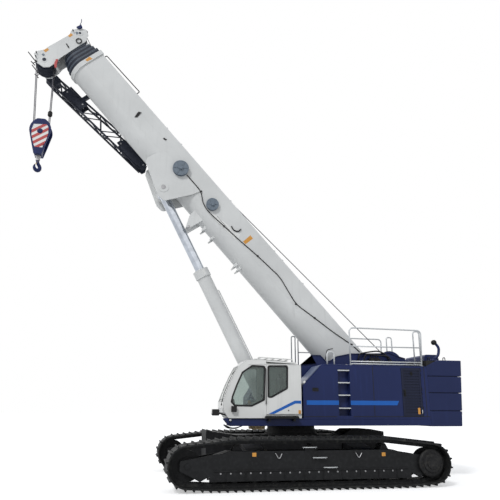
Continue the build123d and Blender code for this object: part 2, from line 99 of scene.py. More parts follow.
def add_prism(bm, outline, thickness):
    """A closed outline of 3-D points, carried along the vector thickness."""
    low = [bm.verts.new(Vector(p)) for p in outline]
    high = [bm.verts.new(Vector(p) + Vector(thickness)) for p in outline]
    bm.faces.new(low)
    bm.faces.new(list(reversed(high)))
    for index in range(len(low)):
        after = (index + 1) % len(low)
        bm.faces.new((low[index], high[index], high[after], low[after]))


def add_frame(bm, outer, inner, thickness):
    """A flat frame between two outlines with as many points each."""
    count = len(outer)
    rings = []
    for outline, lift in ((outer, 0), (inner, 0), (inner, 1), (outer, 1)):
        rings.append([bm.verts.new(Vector(p) + Vector(thickness) * lift) for p in outline])
    for index in range(count):
        after = (index + 1) % count
        for a, b in ((0, 1), (1, 2), (2, 3), (3, 0)):
            bm.faces.new((rings[a][index], rings[a][after], rings[b][after], rings[b][index]))


def add_tube(bm, path, radius, sides=8, closed=False):
    """A round tube along a path of points, of one radius or of one for each point."""
    points = [Vector(p) for p in path]
    radii = radius if isinstance(radius, list) else [radius] * len(points)
    rings = []
    across = None
    count = len(points)
    for index, point in enumerate(points):
        before = points[index - 1] if index or closed else point
        after = points[(index + 1) % count] if index < count - 1 or closed else point
        along = (after - before).normalized()
        if across is None:
            across = along.orthogonal().normalized()
        across = (across - along * across.dot(along)).normalized()
        up = along.cross(across)
        ring = []
        for step in range(sides):
            turn = 2 * math.pi * step / sides
            ring.append(bm.verts.new(point + (across * math.cos(turn) + up * math.sin(turn)) * radii[index]))
        rings.append(ring)
    links = list(zip(rings, rings[1:])) + ([(rings[-1], rings[0])] if closed else [])
    for low, high in links:
        for step in range(sides):
            after = (step + 1) % sides
            bm.faces.new((low[step], low[after], high[after], high[step]))
    if not closed:
        bm.faces.new(list(reversed(rings[0])))
        bm.faces.new(rings[-1])


def add_lathe(bm, centre, axis, profile, sides=24):
    """A turned shape: profile rows are distance along the axis, radius."""
    centre, axis = Vector(centre), Vector(axis).normalized()
    across = axis.orthogonal().normalized()
    up = axis.cross(across)
    rings = []
    for distance, radius in profile:
        ring = []
        for step in range(sides):
            turn = 2 * math.pi * step / sides
            ring.append(bm.verts.new(
                centre + axis * distance + (across * math.cos(turn) + up * math.sin(turn)) * radius))
        rings.append(ring)
    for low, high in zip(rings, rings[1:]):
        for step in range(sides):
            after = (step + 1) % sides
            bm.faces.new((low[step], low[after], high[after], high[step]))
    bm.faces.new(list(reversed(rings[0])))
    bm.faces.new(rings[-1])


def rounded(points, radius, steps=4):
    """A closed outline of 2-D points with its corners rounded."""
    out = []
    count = len(points)
    for index, point in enumerate(points):
        here = Vector(point)
        a, b = Vector(points[index - 1]) - here, Vector(points[(index + 1) % count]) - here
        half = a.angle(b) / 2
        cut = min(radius / math.tan(half), 0.45 * a.length, 0.45 * b.length)
        start, end = here + a.normalized() * cut, here + b.normalized() * cut
        for step in range(steps + 1):
            t = step / steps
            out.append((1 - t) ** 2 * start + 2 * t * (1 - t) * here + t ** 2 * end)
    return out


def rect(x0, z0, x1, z1):
    """The four corners of a rectangle between two opposite corners."""
    return (x0, z0), (x1, z0), (x1, z1), (x0, z1)


def rect_round(x, z, half_x, half_z):
    """A rectangle about its middle."""
    return rect(x - half_x, z - half_z, x + half_x, z + half_z)


def at_y(points, y):
    return [Vector((x, y, z)) for x, z in points]


# Materials
class Nodes:
    """A material's node tree, with short calls for the nodes that the finishes share."""

    def __init__(self, name):
        self.material = bpy.data.materials.new(name)
        self.material.use_nodes = True
        self.tree = self.material.node_tree
        self.shader = self.tree.nodes["Principled BSDF"]
        self.place = self.tree.nodes.new("ShaderNodeTexCoord").outputs["Object"]

    def link(self, source, target):
        self.tree.links.new(source, target)

    def noise(self, scale, detail=4.0, stretch=(1, 1, 1)):
        node = self.tree.nodes.new("ShaderNodeTexNoise")
        node.inputs["Scale"].default_value = scale
        node.inputs["Detail"].default_value = detail
        mapping = self.tree.nodes.new("ShaderNodeMapping")
        mapping.inputs["Scale"].default_value = stretch
        self.link(self.place, mapping.inputs["Vector"])
        self.link(mapping.outputs["Vector"], node.inputs["Vector"])
        return node.outputs["Fac"]

    def ramp(self, source, *stops):
        node = self.tree.nodes.new("ShaderNodeValToRGB")
        row = node.color_ramp.elements
        while len(row) < len(stops):
            row.new(0.5)
        for element, (place, colour) in zip(row, stops):
            element.position = place
            element.color = (*colour, 1.0) if len(colour) == 3 else colour
        self.link(source, node.inputs["Fac"])
        return node.outputs["Color"]

    def mix(self, share, first, second):
        node = self.tree.nodes.new("ShaderNodeMix")
        node.data_type = "RGBA"
        self.link(share, node.inputs["Factor"])
        for socket, value in ((node.inputs["A"], first), (node.inputs["B"], second)):
            if isinstance(value, tuple):
                socket.default_value = (*value, 1.0)
            else:
                self.link(value, socket)
        return node.outputs["Result"]

    def colour(self, source):
        self.link(source, self.shader.inputs["Base Color"])

    def roughness(self, source, low, high):
        node = self.tree.nodes.new("ShaderNodeMapRange")
        node.inputs["To Min"].default_value = low
        node.inputs["To Max"].default_value = high
        self.link(source, node.inputs["Value"])
        self.link(node.outputs["Result"], self.shader.inputs["Roughness"])

    def bump(self, source, strength, distance):
        node = self.tree.nodes.new("ShaderNodeBump")
        node.inputs["Strength"].default_value = strength
        node.inputs["Distance"].default_value = distance
        self.link(source, node.inputs["Height"])
        self.link(node.outputs["Normal"], self.shader.inputs["Normal"])


def shade(colour, factor):
    return tuple(min(1.0, c * factor) for c in colour)


def paint(name, colour, roughness=(0.32, 0.48), streak=0.9, peel=0.02, coat=0.25, sheen=0.5):
    """Sprayed enamel: slow colour drift, faint rain streaks and orange peel."""
    n = Nodes(name)
    drift = n.ramp(n.noise(0.7), (0.35, shade(colour, 0.93)), (0.65, shade(colour, 1.05)))
    streaks = n.ramp(n.noise(5.0, 6.0, (2.0, 2.0, 0.18)), (0.56, (0, 0, 0)), (0.80, (1, 1, 1)))
    n.colour(n.mix(streaks, drift, shade(colour, streak)))
    n.roughness(n.noise(9.0), *roughness)
    n.bump(n.noise(260.0, 2.0), peel, 0.002)
    n.shader.inputs["Coat Weight"].default_value = coat
    n.shader.inputs["Coat Roughness"].default_value = 0.18
    n.shader.inputs["Specular IOR Level"].default_value = sheen
    return n.material


def dusty_steel(name, colour, dust, roughness=(0.5, 0.75), metallic=0.2, grit=0.25):
    """Dark steel with dust that gathers in patches."""
    n = Nodes(name)
    base = n.ramp(n.noise(2.5), (0.3, shade(colour, 0.75)), (0.7, shade(colour, 1.25)))
    patches = n.ramp(n.noise(11.0, 8.0), (0.48, (0, 0, 0)), (0.75, (1, 1, 1)))
    n.colour(n.mix(patches, base, dust))
    n.roughness(n.noise(20.0), *roughness)
    n.bump(n.noise(90.0, 6.0), grit, 0.004)
    n.shader.inputs["Metallic"].default_value = metallic
    n.shader.inputs["Specular IOR Level"].default_value = 0.22
    return n.material


def metal(name, colour, roughness, scale=(1, 1, 1), bump=0.05):
    """Bare or plated metal with fine drawn marks."""
    n = Nodes(name)
    n.colour(n.ramp(n.noise(6.0, 5.0), (0.3, shade(colour, 0.82)), (0.7, shade(colour, 1.12))))
    n.roughness(n.noise(60.0, 4.0, scale), *roughness)
    n.bump(n.noise(180.0, 3.0, scale), bump, 0.001)
    n.shader.inputs["Metallic"].default_value = 1.0
    return n.material


def galvanised(name):
    """Hot-dipped zinc: pale cells of slightly different greys."""
    n = Nodes(name)
    cells = n.tree.nodes.new("ShaderNodeTexVoronoi")
    cells.inputs["Scale"].default_value = 55.0
    n.link(n.place, cells.inputs["Vector"])
    n.colour(n.ramp(cells.outputs["Distance"], (0.0, (0.50, 0.52, 0.54)), (0.8, (0.60, 0.62, 0.63))))
    n.roughness(cells.outputs["Distance"], 0.38, 0.55)
    n.bump(n.noise(120.0), 0.05, 0.001)
    n.shader.inputs["Metallic"].default_value = 0.35
    return n.material


def glass(name, tint):
    """Tinted cab glass, a little wavy."""
    n = Nodes(name)
    n.colour(n.ramp(n.noise(0.9), (0.3, shade(tint, 0.94)), (0.7, shade(tint, 1.06))))
    n.roughness(n.noise(4.0), 0.02, 0.06)
    n.bump(n.noise(1.6), 0.03, 0.01)
    n.shader.inputs["Transmission Weight"].default_value = 0.85
    n.shader.inputs["IOR"].default_value = 1.45
    return n.material


def rubber(name, colour):
    """Matt black rubber or plastic."""
    n = Nodes(name)
    n.colour(n.ramp(n.noise(14.0), (0.3, shade(colour, 0.8)), (0.7, shade(colour, 1.2))))
    n.roughness(n.noise(30.0), 0.55, 0.75)
    n.bump(n.noise(220.0), 0.12, 0.001)
    n.shader.inputs["Specular IOR Level"].default_value = 0.3
    return n.material


def wire_rope(name):
    """Greased wire rope: strands as a fine slanted wave."""
    n = Nodes(name)
    wave = n.tree.nodes.new("ShaderNodeTexWave")
    wave.inputs["Scale"].default_value = 22.0
    wave.inputs["Distortion"].default_value = 0.4
    n.link(n.place, wave.inputs["Vector"])
    n.colour(n.ramp(wave.outputs["Fac"], (0.2, (0.035, 0.035, 0.042)), (0.8, (0.12, 0.12, 0.14))))
    n.roughness(n.noise(40.0), 0.35, 0.6)
    n.bump(wave.outputs["Fac"], 0.6, 0.004)
    n.shader.inputs["Metallic"].default_value = 0.6
    return n.material


def cloth(name, colour):
    """Woven seat cloth."""
    n = Nodes(name)
    weave = n.tree.nodes.new("ShaderNodeTexChecker")
    weave.inputs["Scale"].default_value = 260.0
    weave.inputs["Color1"].default_value = (*shade(colour, 0.7), 1)
    weave.inputs["Color2"].default_value = (*shade(colour, 1.4), 1)
    n.link(n.place, weave.inputs["Vector"])
    n.colour(weave.outputs["Color"])
    n.roughness(n.noise(50.0), 0.8, 0.95)
    n.bump(weave.outputs["Fac"], 0.2, 0.001)
    n.shader.inputs["Sheen Weight"].default_value = 0.3
    return n.material


NAVY = (0.0135, 0.0225, 0.088)
PALE = (0.61, 0.62, 0.615)
WHITE = (0.71, 0.715, 0.70)
MATERIALS = {"track_steel": dusty_steel("track_steel", (0.013, 0.0135, 0.0145), (0.040, 0.040, 0.037)),
             "black_paint": dusty_steel("black_paint", (0.0075, 0.008, 0.009), (0.016, 0.0165, 0.018),
                                        (0.42, 0.65), 0.0, 0.08),
             "navy_paint": paint("navy_paint", NAVY, (0.28, 0.42), 1.35, coat=0.0, sheen=0.2),
             "white_paint": paint("white_paint", WHITE),
             "boom_paint": paint("boom_paint", PALE, (0.38, 0.52)),
             "slate_paint": paint("slate_paint", (0.019, 0.023, 0.037), (0.4, 0.55), 1.3, coat=0.0,
                                  sheen=0.25), "reel_paint": paint("reel_paint", (0.13, 0.165, 0.205),
                                                                   (0.3, 0.45)),
             "galvanised": galvanised("galvanised"),
             "bare_steel": metal("bare_steel", (0.36, 0.36, 0.37), (0.3, 0.5)),
             "rope_steel": wire_rope("rope_steel"),
             "chromed_rod": metal("chromed_rod", (0.62, 0.66, 0.72), (0.08, 0.16), (1, 30, 30), 0.02),
             "cast_iron": dusty_steel("cast_iron", (0.016, 0.016, 0.017), (0.040, 0.038, 0.035)),
             "seat_cloth": cloth("seat_cloth", (0.03, 0.03, 0.034)),
             "cab_glass": glass("cab_glass", (0.365, 0.445, 0.415)), }
BLUE_STRIPE = paint("blue_stripe", (0.012, 0.115, 0.46), (0.3, 0.4), 1.1, coat=0.0, sheen=0.25)
# Pale blue-grey for the panel on the house's sloping front: painted sky light and sheen, paler than the navy
# house
SLOPE_SKY_SHEEN = paint("slope_painted_sky_sheen", (0.12, 0.15, 0.24), (0.35, 0.5), 1.2)
AMBER = paint("amber_blank", (0.60, 0.27, 0.035), (0.4, 0.55), 0.8)
CLEAR_GLASS = glass("windscreen_glass", (0.84, 0.88, 0.86))
GASKET = rubber("gasket_rubber", (0.012, 0.012, 0.013))
RED_BAND = paint("red_band", (0.42, 0.035, 0.035), (0.35, 0.5), 0.8)
LOUVRE = paint("louvre_paint", (0.013, 0.0165, 0.038), (0.4, 0.55), 1.2, coat=0.0, sheen=0.2)
COUNTER = paint("counterweight_paint", (0.0125, 0.020, 0.072), (0.38, 0.52), 1.25, coat=0.0, sheen=0.2)
BRASS = metal("yellow_brass", (0.42, 0.33, 0.20), (0.35, 0.55))
DARK_PANE = rubber("dark_pane", (0.010, 0.012, 0.013))


def dress_cad_nodes():
    """Every CAD node takes the finish of its slot in the record."""
    slots = {node: row["slot"] for row in frame["record"]["materials"] for node in row.get("nodes", [])}
    for node, shown in frame["nodes"].items():
        row = shown.data.materials
        name = row[0].name.split(".")[0] if row and row[0] else "black_paint"
        row.clear()
        row.append(MATERIALS[slots.get(node, name)])
    frame["nodes"]["engine_door"].data.materials[0] = LOUVRE


dress_cad_nodes()


# Shapes in the XZ plane and in the boom's s and o plane
def offset(points, distance):
    """A closed outline with its edges moved outwards by a distance."""
    area = sum(a[0] * b[1] - b[0] * a[1] for a, b in zip(points, points[1:] + points[:1]))
    sign = 1 if area > 0 else -1
    out = []
    for index, here in enumerate(points):
        before, after = points[index - 1], points[(index + 1) % len(points)]
        one = Vector((here[1] - before[1], before[0] - here[0])).normalized() * sign
        two = Vector((after[1] - here[1], here[0] - after[0])).normalized() * sign
        half = (one + two).normalized()
        out.append(Vector(here) + half * (distance / max(0.3, half.dot(one))))
    return out


def ribbon(points, width):
    """A line of 2-D points made into a closed band of that width, to its left."""
    points = [Vector(p) for p in points]
    side = []
    for index, here in enumerate(points):
        along = (points[min(index + 1, len(points) - 1)] - points[max(index - 1, 0)]).normalized()
        side.append(here + Vector((-along.y, along.x)) * width)
    return points + side[::-1]


def arc(start, through, end, steps=8):
    """Points on the circle arc through three 2-D points, without its start."""
    (ax, ay), (bx, by), (cx, cy) = start, through, end
    d = 2 * (ax * (by - cy) + bx * (cy - ay) + cx * (ay - by))
    a2, b2, c2 = ax * ax + ay * ay, bx * bx + by * by, cx * cx + cy * cy
    x = (a2 * (by - cy) + b2 * (cy - ay) + c2 * (ay - by)) / d
    y = (a2 * (cx - bx) + b2 * (ax - cx) + c2 * (bx - ax)) / d
    r = math.hypot(ax - x, ay - y)
    turns = [math.atan2(q - y, p - x) for p, q in (start, through, end)]
    while turns[1] < turns[0]:
        turns[1] += 2 * math.pi
    while turns[2] < turns[0]:
        turns[2] += 2 * math.pi
    if turns[1] > turns[2]:
        turns[2] -= 2 * math.pi
    return [(x + r * math.cos(turns[0] + (turns[2] - turns[0]) * i / steps),
             y + r * math.sin(turns[0] + (turns[2] - turns[0]) * i / steps)) for i in range(1, steps + 1)]


def slab(bm, points, y0, y1):
    add_prism(bm, at_y(points, y0), (0, y1 - y0, 0))


def boom_path(points, y):
    return [so(s, o, y) for s, o in points]


def boom_slab(bm, points, y0, y1):
    add_prism(bm, boom_path(points, y0), (0, y1 - y0, 0))


def both_slabs(bm, points, y0, y1, make=slab):
    """The same plate on the right and on the left."""
    for side in (-1, 1):
        make(bm, points, side * y0, side * y1)


def add_disc(bm, centre, axis, length, radius, sides=24):
    add_lathe(bm, centre, axis, ((0, radius), (length, radius)), sides)


def add_block(bm, x0, x1, y0, y1, z0, z1):
    slab(bm, rect(x0, z0, x1, z1), y0, y1)


def bend_path(points, radius, steps=5):
    """A path of 3-D points with its inner corners rounded."""
    points = [Vector(p) for p in points]
    out = [points[0]]
    for before, here, after in zip(points, points[1:], points[2:]):
        a, b = before - here, after - here
        cut = min(radius, 0.45 * a.length, 0.45 * b.length)
        start, end = here + a.normalized() * cut, here + b.normalized() * cut
        for step in range(steps + 1):
            t = step / steps
            out.append((1 - t) ** 2 * start + 2 * t * (1 - t) * here + t ** 2 * end)
    return out + [points[-1]]


def add_bolts(bm, places, axis, radius, height):
    """Hexagon heads on washers."""
    for place in places:
        add_lathe(bm, place, axis, ((0, 1.3 * radius), (0.25 * height, 1.3 * radius)), 12)
        add_lathe(bm, place, axis, ((0.25 * height, radius), (0.85 * height, radius),
                                    (height, 0.8 * radius)), 6)


def piece(name, body, slot, build, material=None, smooth=False, bevel=0.0, replaces=()):
    """One scene piece: its mesh comes from a function of an empty bmesh."""
    shown = finish_piece(name, new_mesh(name, build), body, material or MATERIALS[slot], smooth)
    if bevel:
        edge = shown.modifiers.new("broken_edges", "BEVEL")
        edge.width, edge.segments, edge.limit_method = bevel, 2, "ANGLE"
    if replaces:
        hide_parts(*replaces)
    return shown


# Undercarriage: wheels' places follow the track's own box
TRACK_LOW, TRACK_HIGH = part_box("track_left")
TRACK_Y = (TRACK_LOW.y + TRACK_HIGH.y) / 2
TRACK_RISE, WHEEL_Z = 0.53, 0.57
SPROCKET_X, IDLER_X = TRACK_LOW.x + TRACK_RISE, TRACK_HIGH.x - TRACK_RISE
FRAME_Y = (TRACK_Y - 0.24, TRACK_Y + 0.24)
FRAME_Z = (0.43, 0.90)
CHEEK_PROUD, CHEEK_PLATE = 0.005, 0.03
GIRDER_X = (SPROCKET_X + 0.56, IDLER_X - 0.56)
CARRIER_X, CARRIER_Z = (-1.753, 0.157, 2.067), 0.975
ROLLER_X = [SPROCKET_X + 0.667 + (IDLER_X - SPROCKET_X - 1.334) * i / 10 for i in range(11)]


def make_track_frames():
    """Side frames with cheeks, carrier rollers and drive hubs."""
    x0, x1 = GIRDER_X
    y0, y1 = FRAME_Y
    z0, z1 = FRAME_Z
    girder = ((x0, z0), (x1, z0), (x1, z1 - 0.12), (x1 - 0.42, z1), (x0 + 0.42, z1), (x0, z1 - 0.12))
    cheek = ((SPROCKET_X - 0.19, 0.47), (SPROCKET_X + 0.30, 0.225), (SPROCKET_X + 0.52, 0.34),
             (SPROCKET_X + 0.52, 0.215), (IDLER_X - 0.52, 0.215), (IDLER_X - 0.52, 0.34),
             (IDLER_X - 0.30, 0.225), (IDLER_X + 0.19, 0.47), (IDLER_X + 0.19, 0.69),
             (x1 - 0.12, z1 - 0.06), (x0 + 0.12, z1 - 0.06), (SPROCKET_X - 0.19, 0.69))
    for side, name in ((1, "left"), (-1, "right")):
        def frame_mesh(bm):
            slab(bm, girder, side * y0, side * y1)
            for y in (y0 - CHEEK_PROUD, y1 + CHEEK_PROUD - CHEEK_PLATE):
                slab(bm, cheek, side * y, side * (y + CHEEK_PLATE))
            for a, b in zip(ROLLER_X, ROLLER_X[1:]):
                x = (a + b) / 2
                add_block(bm, x - 0.012, x + 0.012, side * (y1 - 0.001), side * (y1 + 0.022), 0.235, 0.46)
            add_block(bm, x0 + 0.06, x1 - 0.06, side * (y1 - 0.001), side * (y1 + 0.03), z0 + 0.01,
                      z0 + 0.04)
            for x in CARRIER_X:
                bracket = ((x - 0.15, z1 - 0.04), (x + 0.15, z1 - 0.04), (x + 0.06, CARRIER_Z + 0.045),
                           (x - 0.06, CARRIER_Z + 0.045))
                for out in (-1, 1):
                    y = TRACK_Y + out * 0.15
                    slab(bm, bracket, side * (y - 0.012), side * (y + 0.012))
        piece("side_frame_" + name, "undercarriage", "black_paint", frame_mesh, bevel=0.006,
              replaces=("track_frame_" + name,))

        def carriers(bm):
            for x in CARRIER_X:
                add_lathe(bm, (x, side * TRACK_Y, CARRIER_Z), (0, 1, 0),
                          ((-0.175, 0.03), (-0.13, 0.03), (-0.13, 0.085), (-0.085, 0.085), (-0.07, 0.067),
                           (0.07, 0.067), (0.085, 0.085), (0.13, 0.085), (0.13, 0.03), (0.175, 0.03)))
        piece("carrier_rollers_" + name, "undercarriage", "cast_iron", carriers, smooth=False)

        def drive(bm):
            reach = TRACK_HIGH.y - y1 - 0.04
            add_lathe(bm, (SPROCKET_X, side * (y1 + 0.04), WHEEL_Z), (0, side, 0), (
                (0, 0.335), (0.30 * reach, 0.335), (0.42 * reach, 0.30), (0.42 * reach, 0.235),
                (0.62 * reach, 0.22), (0.66 * reach, 0.15), (0.86 * reach, 0.135)), 40)
            for count, radius, level, size in ((16, 0.268, 0.42, 0.014), (8, 0.10, 0.86, 0.010)):
                places = [(SPROCKET_X + radius * math.cos(2 * math.pi * i / count),
                           side * (y1 + 0.04 + level * reach),
                           WHEEL_Z + radius * math.sin(2 * math.pi * i / count)) for i in range(count)]
                add_bolts(bm, places, (0, side, 0), size, 0.014)
        piece("drive_hub_" + name, "undercarriage", "cast_iron", drive, replaces=("final_drive_" + name,))


STEP_PLACES = ((0.26, 0.985), (0.0, 0.742), (-0.27, 0.512))


def make_track_steps():
    """Treads with raised grip bars up the side frames."""
    y0 = FRAME_Y[1]

    def treads(bm):
        for x, z in STEP_PLACES:
            for side in (-1, 1):
                nose = [(x - 0.185, y0), (x + 0.185, y0), (x + 0.185, y0 + 0.046)]
                nose += arc((x + 0.185, y0 + 0.046), (x, y0 + 0.13), (x - 0.185, y0 + 0.046), 12)
                add_prism(bm, [(px, side * py, z - 0.014) for px, py in nose], (0, 0, 0.014))
                for end in (-1, 1):
                    add_prism(bm, [(x + end * 0.16, side * y0, z - 0.005),
                                   (x + end * 0.16, side * (y0 + 0.05), z - 0.005),
                                   (x + end * 0.16, side * y0, z - 0.045)], (-end * 0.01, 0, 0))
                for index in range(9):
                    bar_x = x - 0.16 + 0.04 * index
                    add_block(bm, bar_x - 0.005, bar_x + 0.005, side * (y0 + 0.012), side * (y0 + 0.07), z,
                              z + 0.006)
    piece("side_frame_steps", "undercarriage", "galvanised", treads)

    def back_plates(bm):
        x, z = STEP_PLACES[0]
        for side in (-1, 1):
            add_block(bm, x - 0.12, x + 0.12, side * y0, side * (y0 + 0.012), FRAME_Z[1] - 0.11, z - 0.015)
    piece("step_back_plates", "undercarriage", "black_paint", back_plates)


def make_carbody():
    """The carbody's block, its long spine and the two tapered cross beams."""
    def body(bm):
        add_block(bm, -1.15, 1.15, -1.15, 1.15, 0.43, 1.06)
        add_disc(bm, (0, 0, 1.06), (0, 0, 1), 0.16, 0.78, 48)
        slab(bm, ((-2.71, 0.56), (2.58, 0.56), (2.58, 1.33), (2.40, 1.28), (1.70, 1.18), (-1.45, 1.18),
                  (-1.70, 1.33), (-2.30, 1.33), (-2.71, 1.26)), -0.5, 0.5)
        reach = FRAME_Y[0]
        beam = ((-reach, 0.50), (-1.15, 0.44), (1.15, 0.44), (reach, 0.50), (reach, 0.85), (1.15, 1.0),
                (-1.15, 1.0), (-reach, 0.85))
        for x in (-1.48, 1.48):
            add_prism(bm, [(x - 0.26, y, z) for y, z in beam], (0.52, 0, 0))
    piece("carbody_frame", "undercarriage", "black_paint", body, bevel=0.01, replaces=("carbody",))

    def bolts(bm):
        places = [(0.665 * math.cos(a), 0.665 * math.sin(a), 1.335) for a in
                  (2 * math.pi * (i + 0.5) / 48 for i in range(48))]
        add_bolts(bm, places, (0, 0, 1), 0.012, 0.012)
    piece("slew_ring_bolts", "undercarriage", "bare_steel", bolts)


def make_frame_trim():
    """Blank plates, lashing loops and bolts on the side frames."""
    y = FRAME_Y[1] + CHEEK_PROUD

    def blanks(bm):
        for x, z in ((1.66, 0.82), (-1.70, 0.79)):
            both_slabs(bm, rounded(rect_round(x, z, 0.05, 0.045), 0.01), y, y + 0.002)
    piece("frame_blanks", "undercarriage", "black_paint", blanks, AMBER)

    def chains(bm):
        for x in (1.05, -1.02):
            for side in (-1, 1):
                add_tube(bm, bend_path(((x + 0.08, side * (y - 0.01), 0.84),
                                        (x + 0.08, side * (y + 0.03), 0.84), (x, side * (y + 0.035), 0.70),
                                        (x - 0.08, side * (y + 0.03), 0.84),
                                        (x - 0.08, side * (y - 0.01), 0.84)), 0.06), 0.012)
    piece("frame_lashing_loops", "undercarriage", "bare_steel", chains, smooth=True)

    def roller_bolts(bm):
        for a, b in zip(ROLLER_X, ROLLER_X[1:]):
            for share in (0.25, 0.75):
                for side in (-1, 1):
                    add_bolts(bm, [(a + (b - a) * share, side * y, 0.40)], (0, side, 0), 0.016, 0.016)
    piece("frame_bolts", "undercarriage", "bare_steel", roller_bolts)


make_track_frames()
make_track_steps()
make_carbody()
make_frame_trim()


# Upper works
TURRET_Y = (0.53, 0.59)
TURRET_OUTLINE = [(-3.52, 1.65), (1.08, 1.65), (1.08, 2.08), (0.93, 2.23), (0.64, 2.26), (-0.20, 2.72),
                  (-0.15, 3.15), (-0.64, 3.19), (-0.50, 3.44), (-0.79, 3.44), (-0.97, 3.26), (-1.10, 3.29),
                  (-1.30, 3.42), (-1.75, 3.51), (-2.80, 3.54), (-2.99, 3.565), (-3.25, 3.47), (-3.52, 3.40)]
FAR_TURRET_OUTLINE = TURRET_OUTLINE[:6] + [(-0.60, 2.96), (-1.02, 3.22)] + TURRET_OUTLINE[11:]
HOUSE_TOP, HOUSE_REAR = 3.10, -3.72
RIGHT_TOP = 2.96
LADDER_X = (-1.33, -0.98)


def make_boom_foot():
    """The two plates that carry the boom's foot, with what is fixed on and between them."""
    def plates(bm):
        for side, outline in ((-1, FAR_TURRET_OUTLINE), (1, TURRET_OUTLINE)):
            slab(bm, outline, side * TURRET_Y[0], side * TURRET_Y[1])
            slab(bm, ribbon(outline[5:], 0.02), side * (TURRET_Y[1] - 0.004), side * (TURRET_Y[1] + 0.028))
            for x, z, radius in ((-1.6, 3.1, 0.2), (0.75, 2.0, 0.18)):
                add_disc(bm, (x, side * (TURRET_Y[0] - 0.008), z), (0, side, 0), 0.073, radius, 40)
            add_block(bm, -3.5, 1.08, side * 0.35, side * TURRET_Y[0], 1.65, 1.69)
        add_block(bm, -0.9, -0.7, -TURRET_Y[0], TURRET_Y[0], 1.65, 2.30)
    piece("boom_foot_plates", "upper", "navy_paint", plates, bevel=0.004, replaces=("boom_foot_frame",))

    def lever(bm):
        add_tube(bm, bend_path([(x, 0.60, z)
                                for x, z in ((-0.94, 3.30), (-0.98, 3.50), (-0.99, 3.58), (-1.07, 3.62),
                                             (-1.19, 3.64))], 0.04), 0.012)
        for path in (((-1.95, 0.64, 3.30), (-2.0, 0.66, 3.50), (-2.30, 0.68, 3.56), (-2.62, 0.66, 3.60),
                      (-2.85, 0.68, 3.50), (-2.95, 0.66, 3.30)),
                     ((-2.10, 0.70, 3.20), (-2.17, 0.72, 3.50), (-2.45, 0.74, 3.46), (-2.92, 0.74, 3.44),
                      (-3.02, 0.72, 3.20))):
            add_tube(bm, bend_path(path, 0.15, 8), 0.022)
    piece("boom_foot_hoses", "upper", "black_paint", lever, GASKET, smooth=True)

    def valves(bm):
        add_block(bm, -2.62, -2.30, 0.62, 0.78, 3.18, 3.36)
        for index in range(4):
            add_lathe(bm, (-2.57 + 0.075 * index, 0.70, 3.36), (0, 0, 1), (
                (0, 0.026), (0.05, 0.026), (0.055, 0.018), (0.10, 0.016)), 10)
    piece("winch_valve_block", "upper", "cast_iron", valves, bevel=0.004)


def bent_railing(bm, y, front, rear, low, top, rails):
    add_tube(bm, bend_path(((front, y, low), (front, y, top), (rear - 0.05, y, top - 0.02), (rear, y, low)),
                           0.14, 8), 0.021, 12)
    for x in (front, rear):
        add_block(bm, x - 0.04, x + 0.04, y - 0.04, y + 0.04, low, low + 0.01)
    for z in rails:
        lean = 0.05 * (z - low) / (top - low)
        add_tube(bm, ((front, y, z), (rear - lean, y, z)), 0.018, 12)


def hoop(bm, y, x0, x1, low, top):
    add_tube(bm, bend_path(((x0, y, low), (x0, y, top), (x1, y, top), (x1, y, low)), 0.09, 8), 0.021, 12)


def make_railings():
    """The bent hand rails and hoops on both houses."""
    def left(bm):
        bent_railing(bm, 1.44, -1.40, -3.60, HOUSE_TOP, 4.165, (3.635, 3.205, 3.137))
        hoop(bm, 1.25, -3.49, -3.69, HOUSE_TOP, 4.14)
        hoop(bm, 1.44, -0.70, -0.91, HOUSE_TOP, 3.45)
    piece("hand_rail_left", "upper", "galvanised", left, smooth=True, replaces=("railing_left",))

    def right(bm):
        bent_railing(bm, -1.44, -0.70, -3.64, RIGHT_TOP, 4.24, (3.71, 3.07, 3.005))
        hoop(bm, -1.44, -0.47, -0.60, RIGHT_TOP, 4.24)
        hoop(bm, -1.25, -3.80, -3.99, 3.10, 4.27)
    piece("hand_rail_right", "upper", "galvanised", right, smooth=True, replaces=("railing_right",))


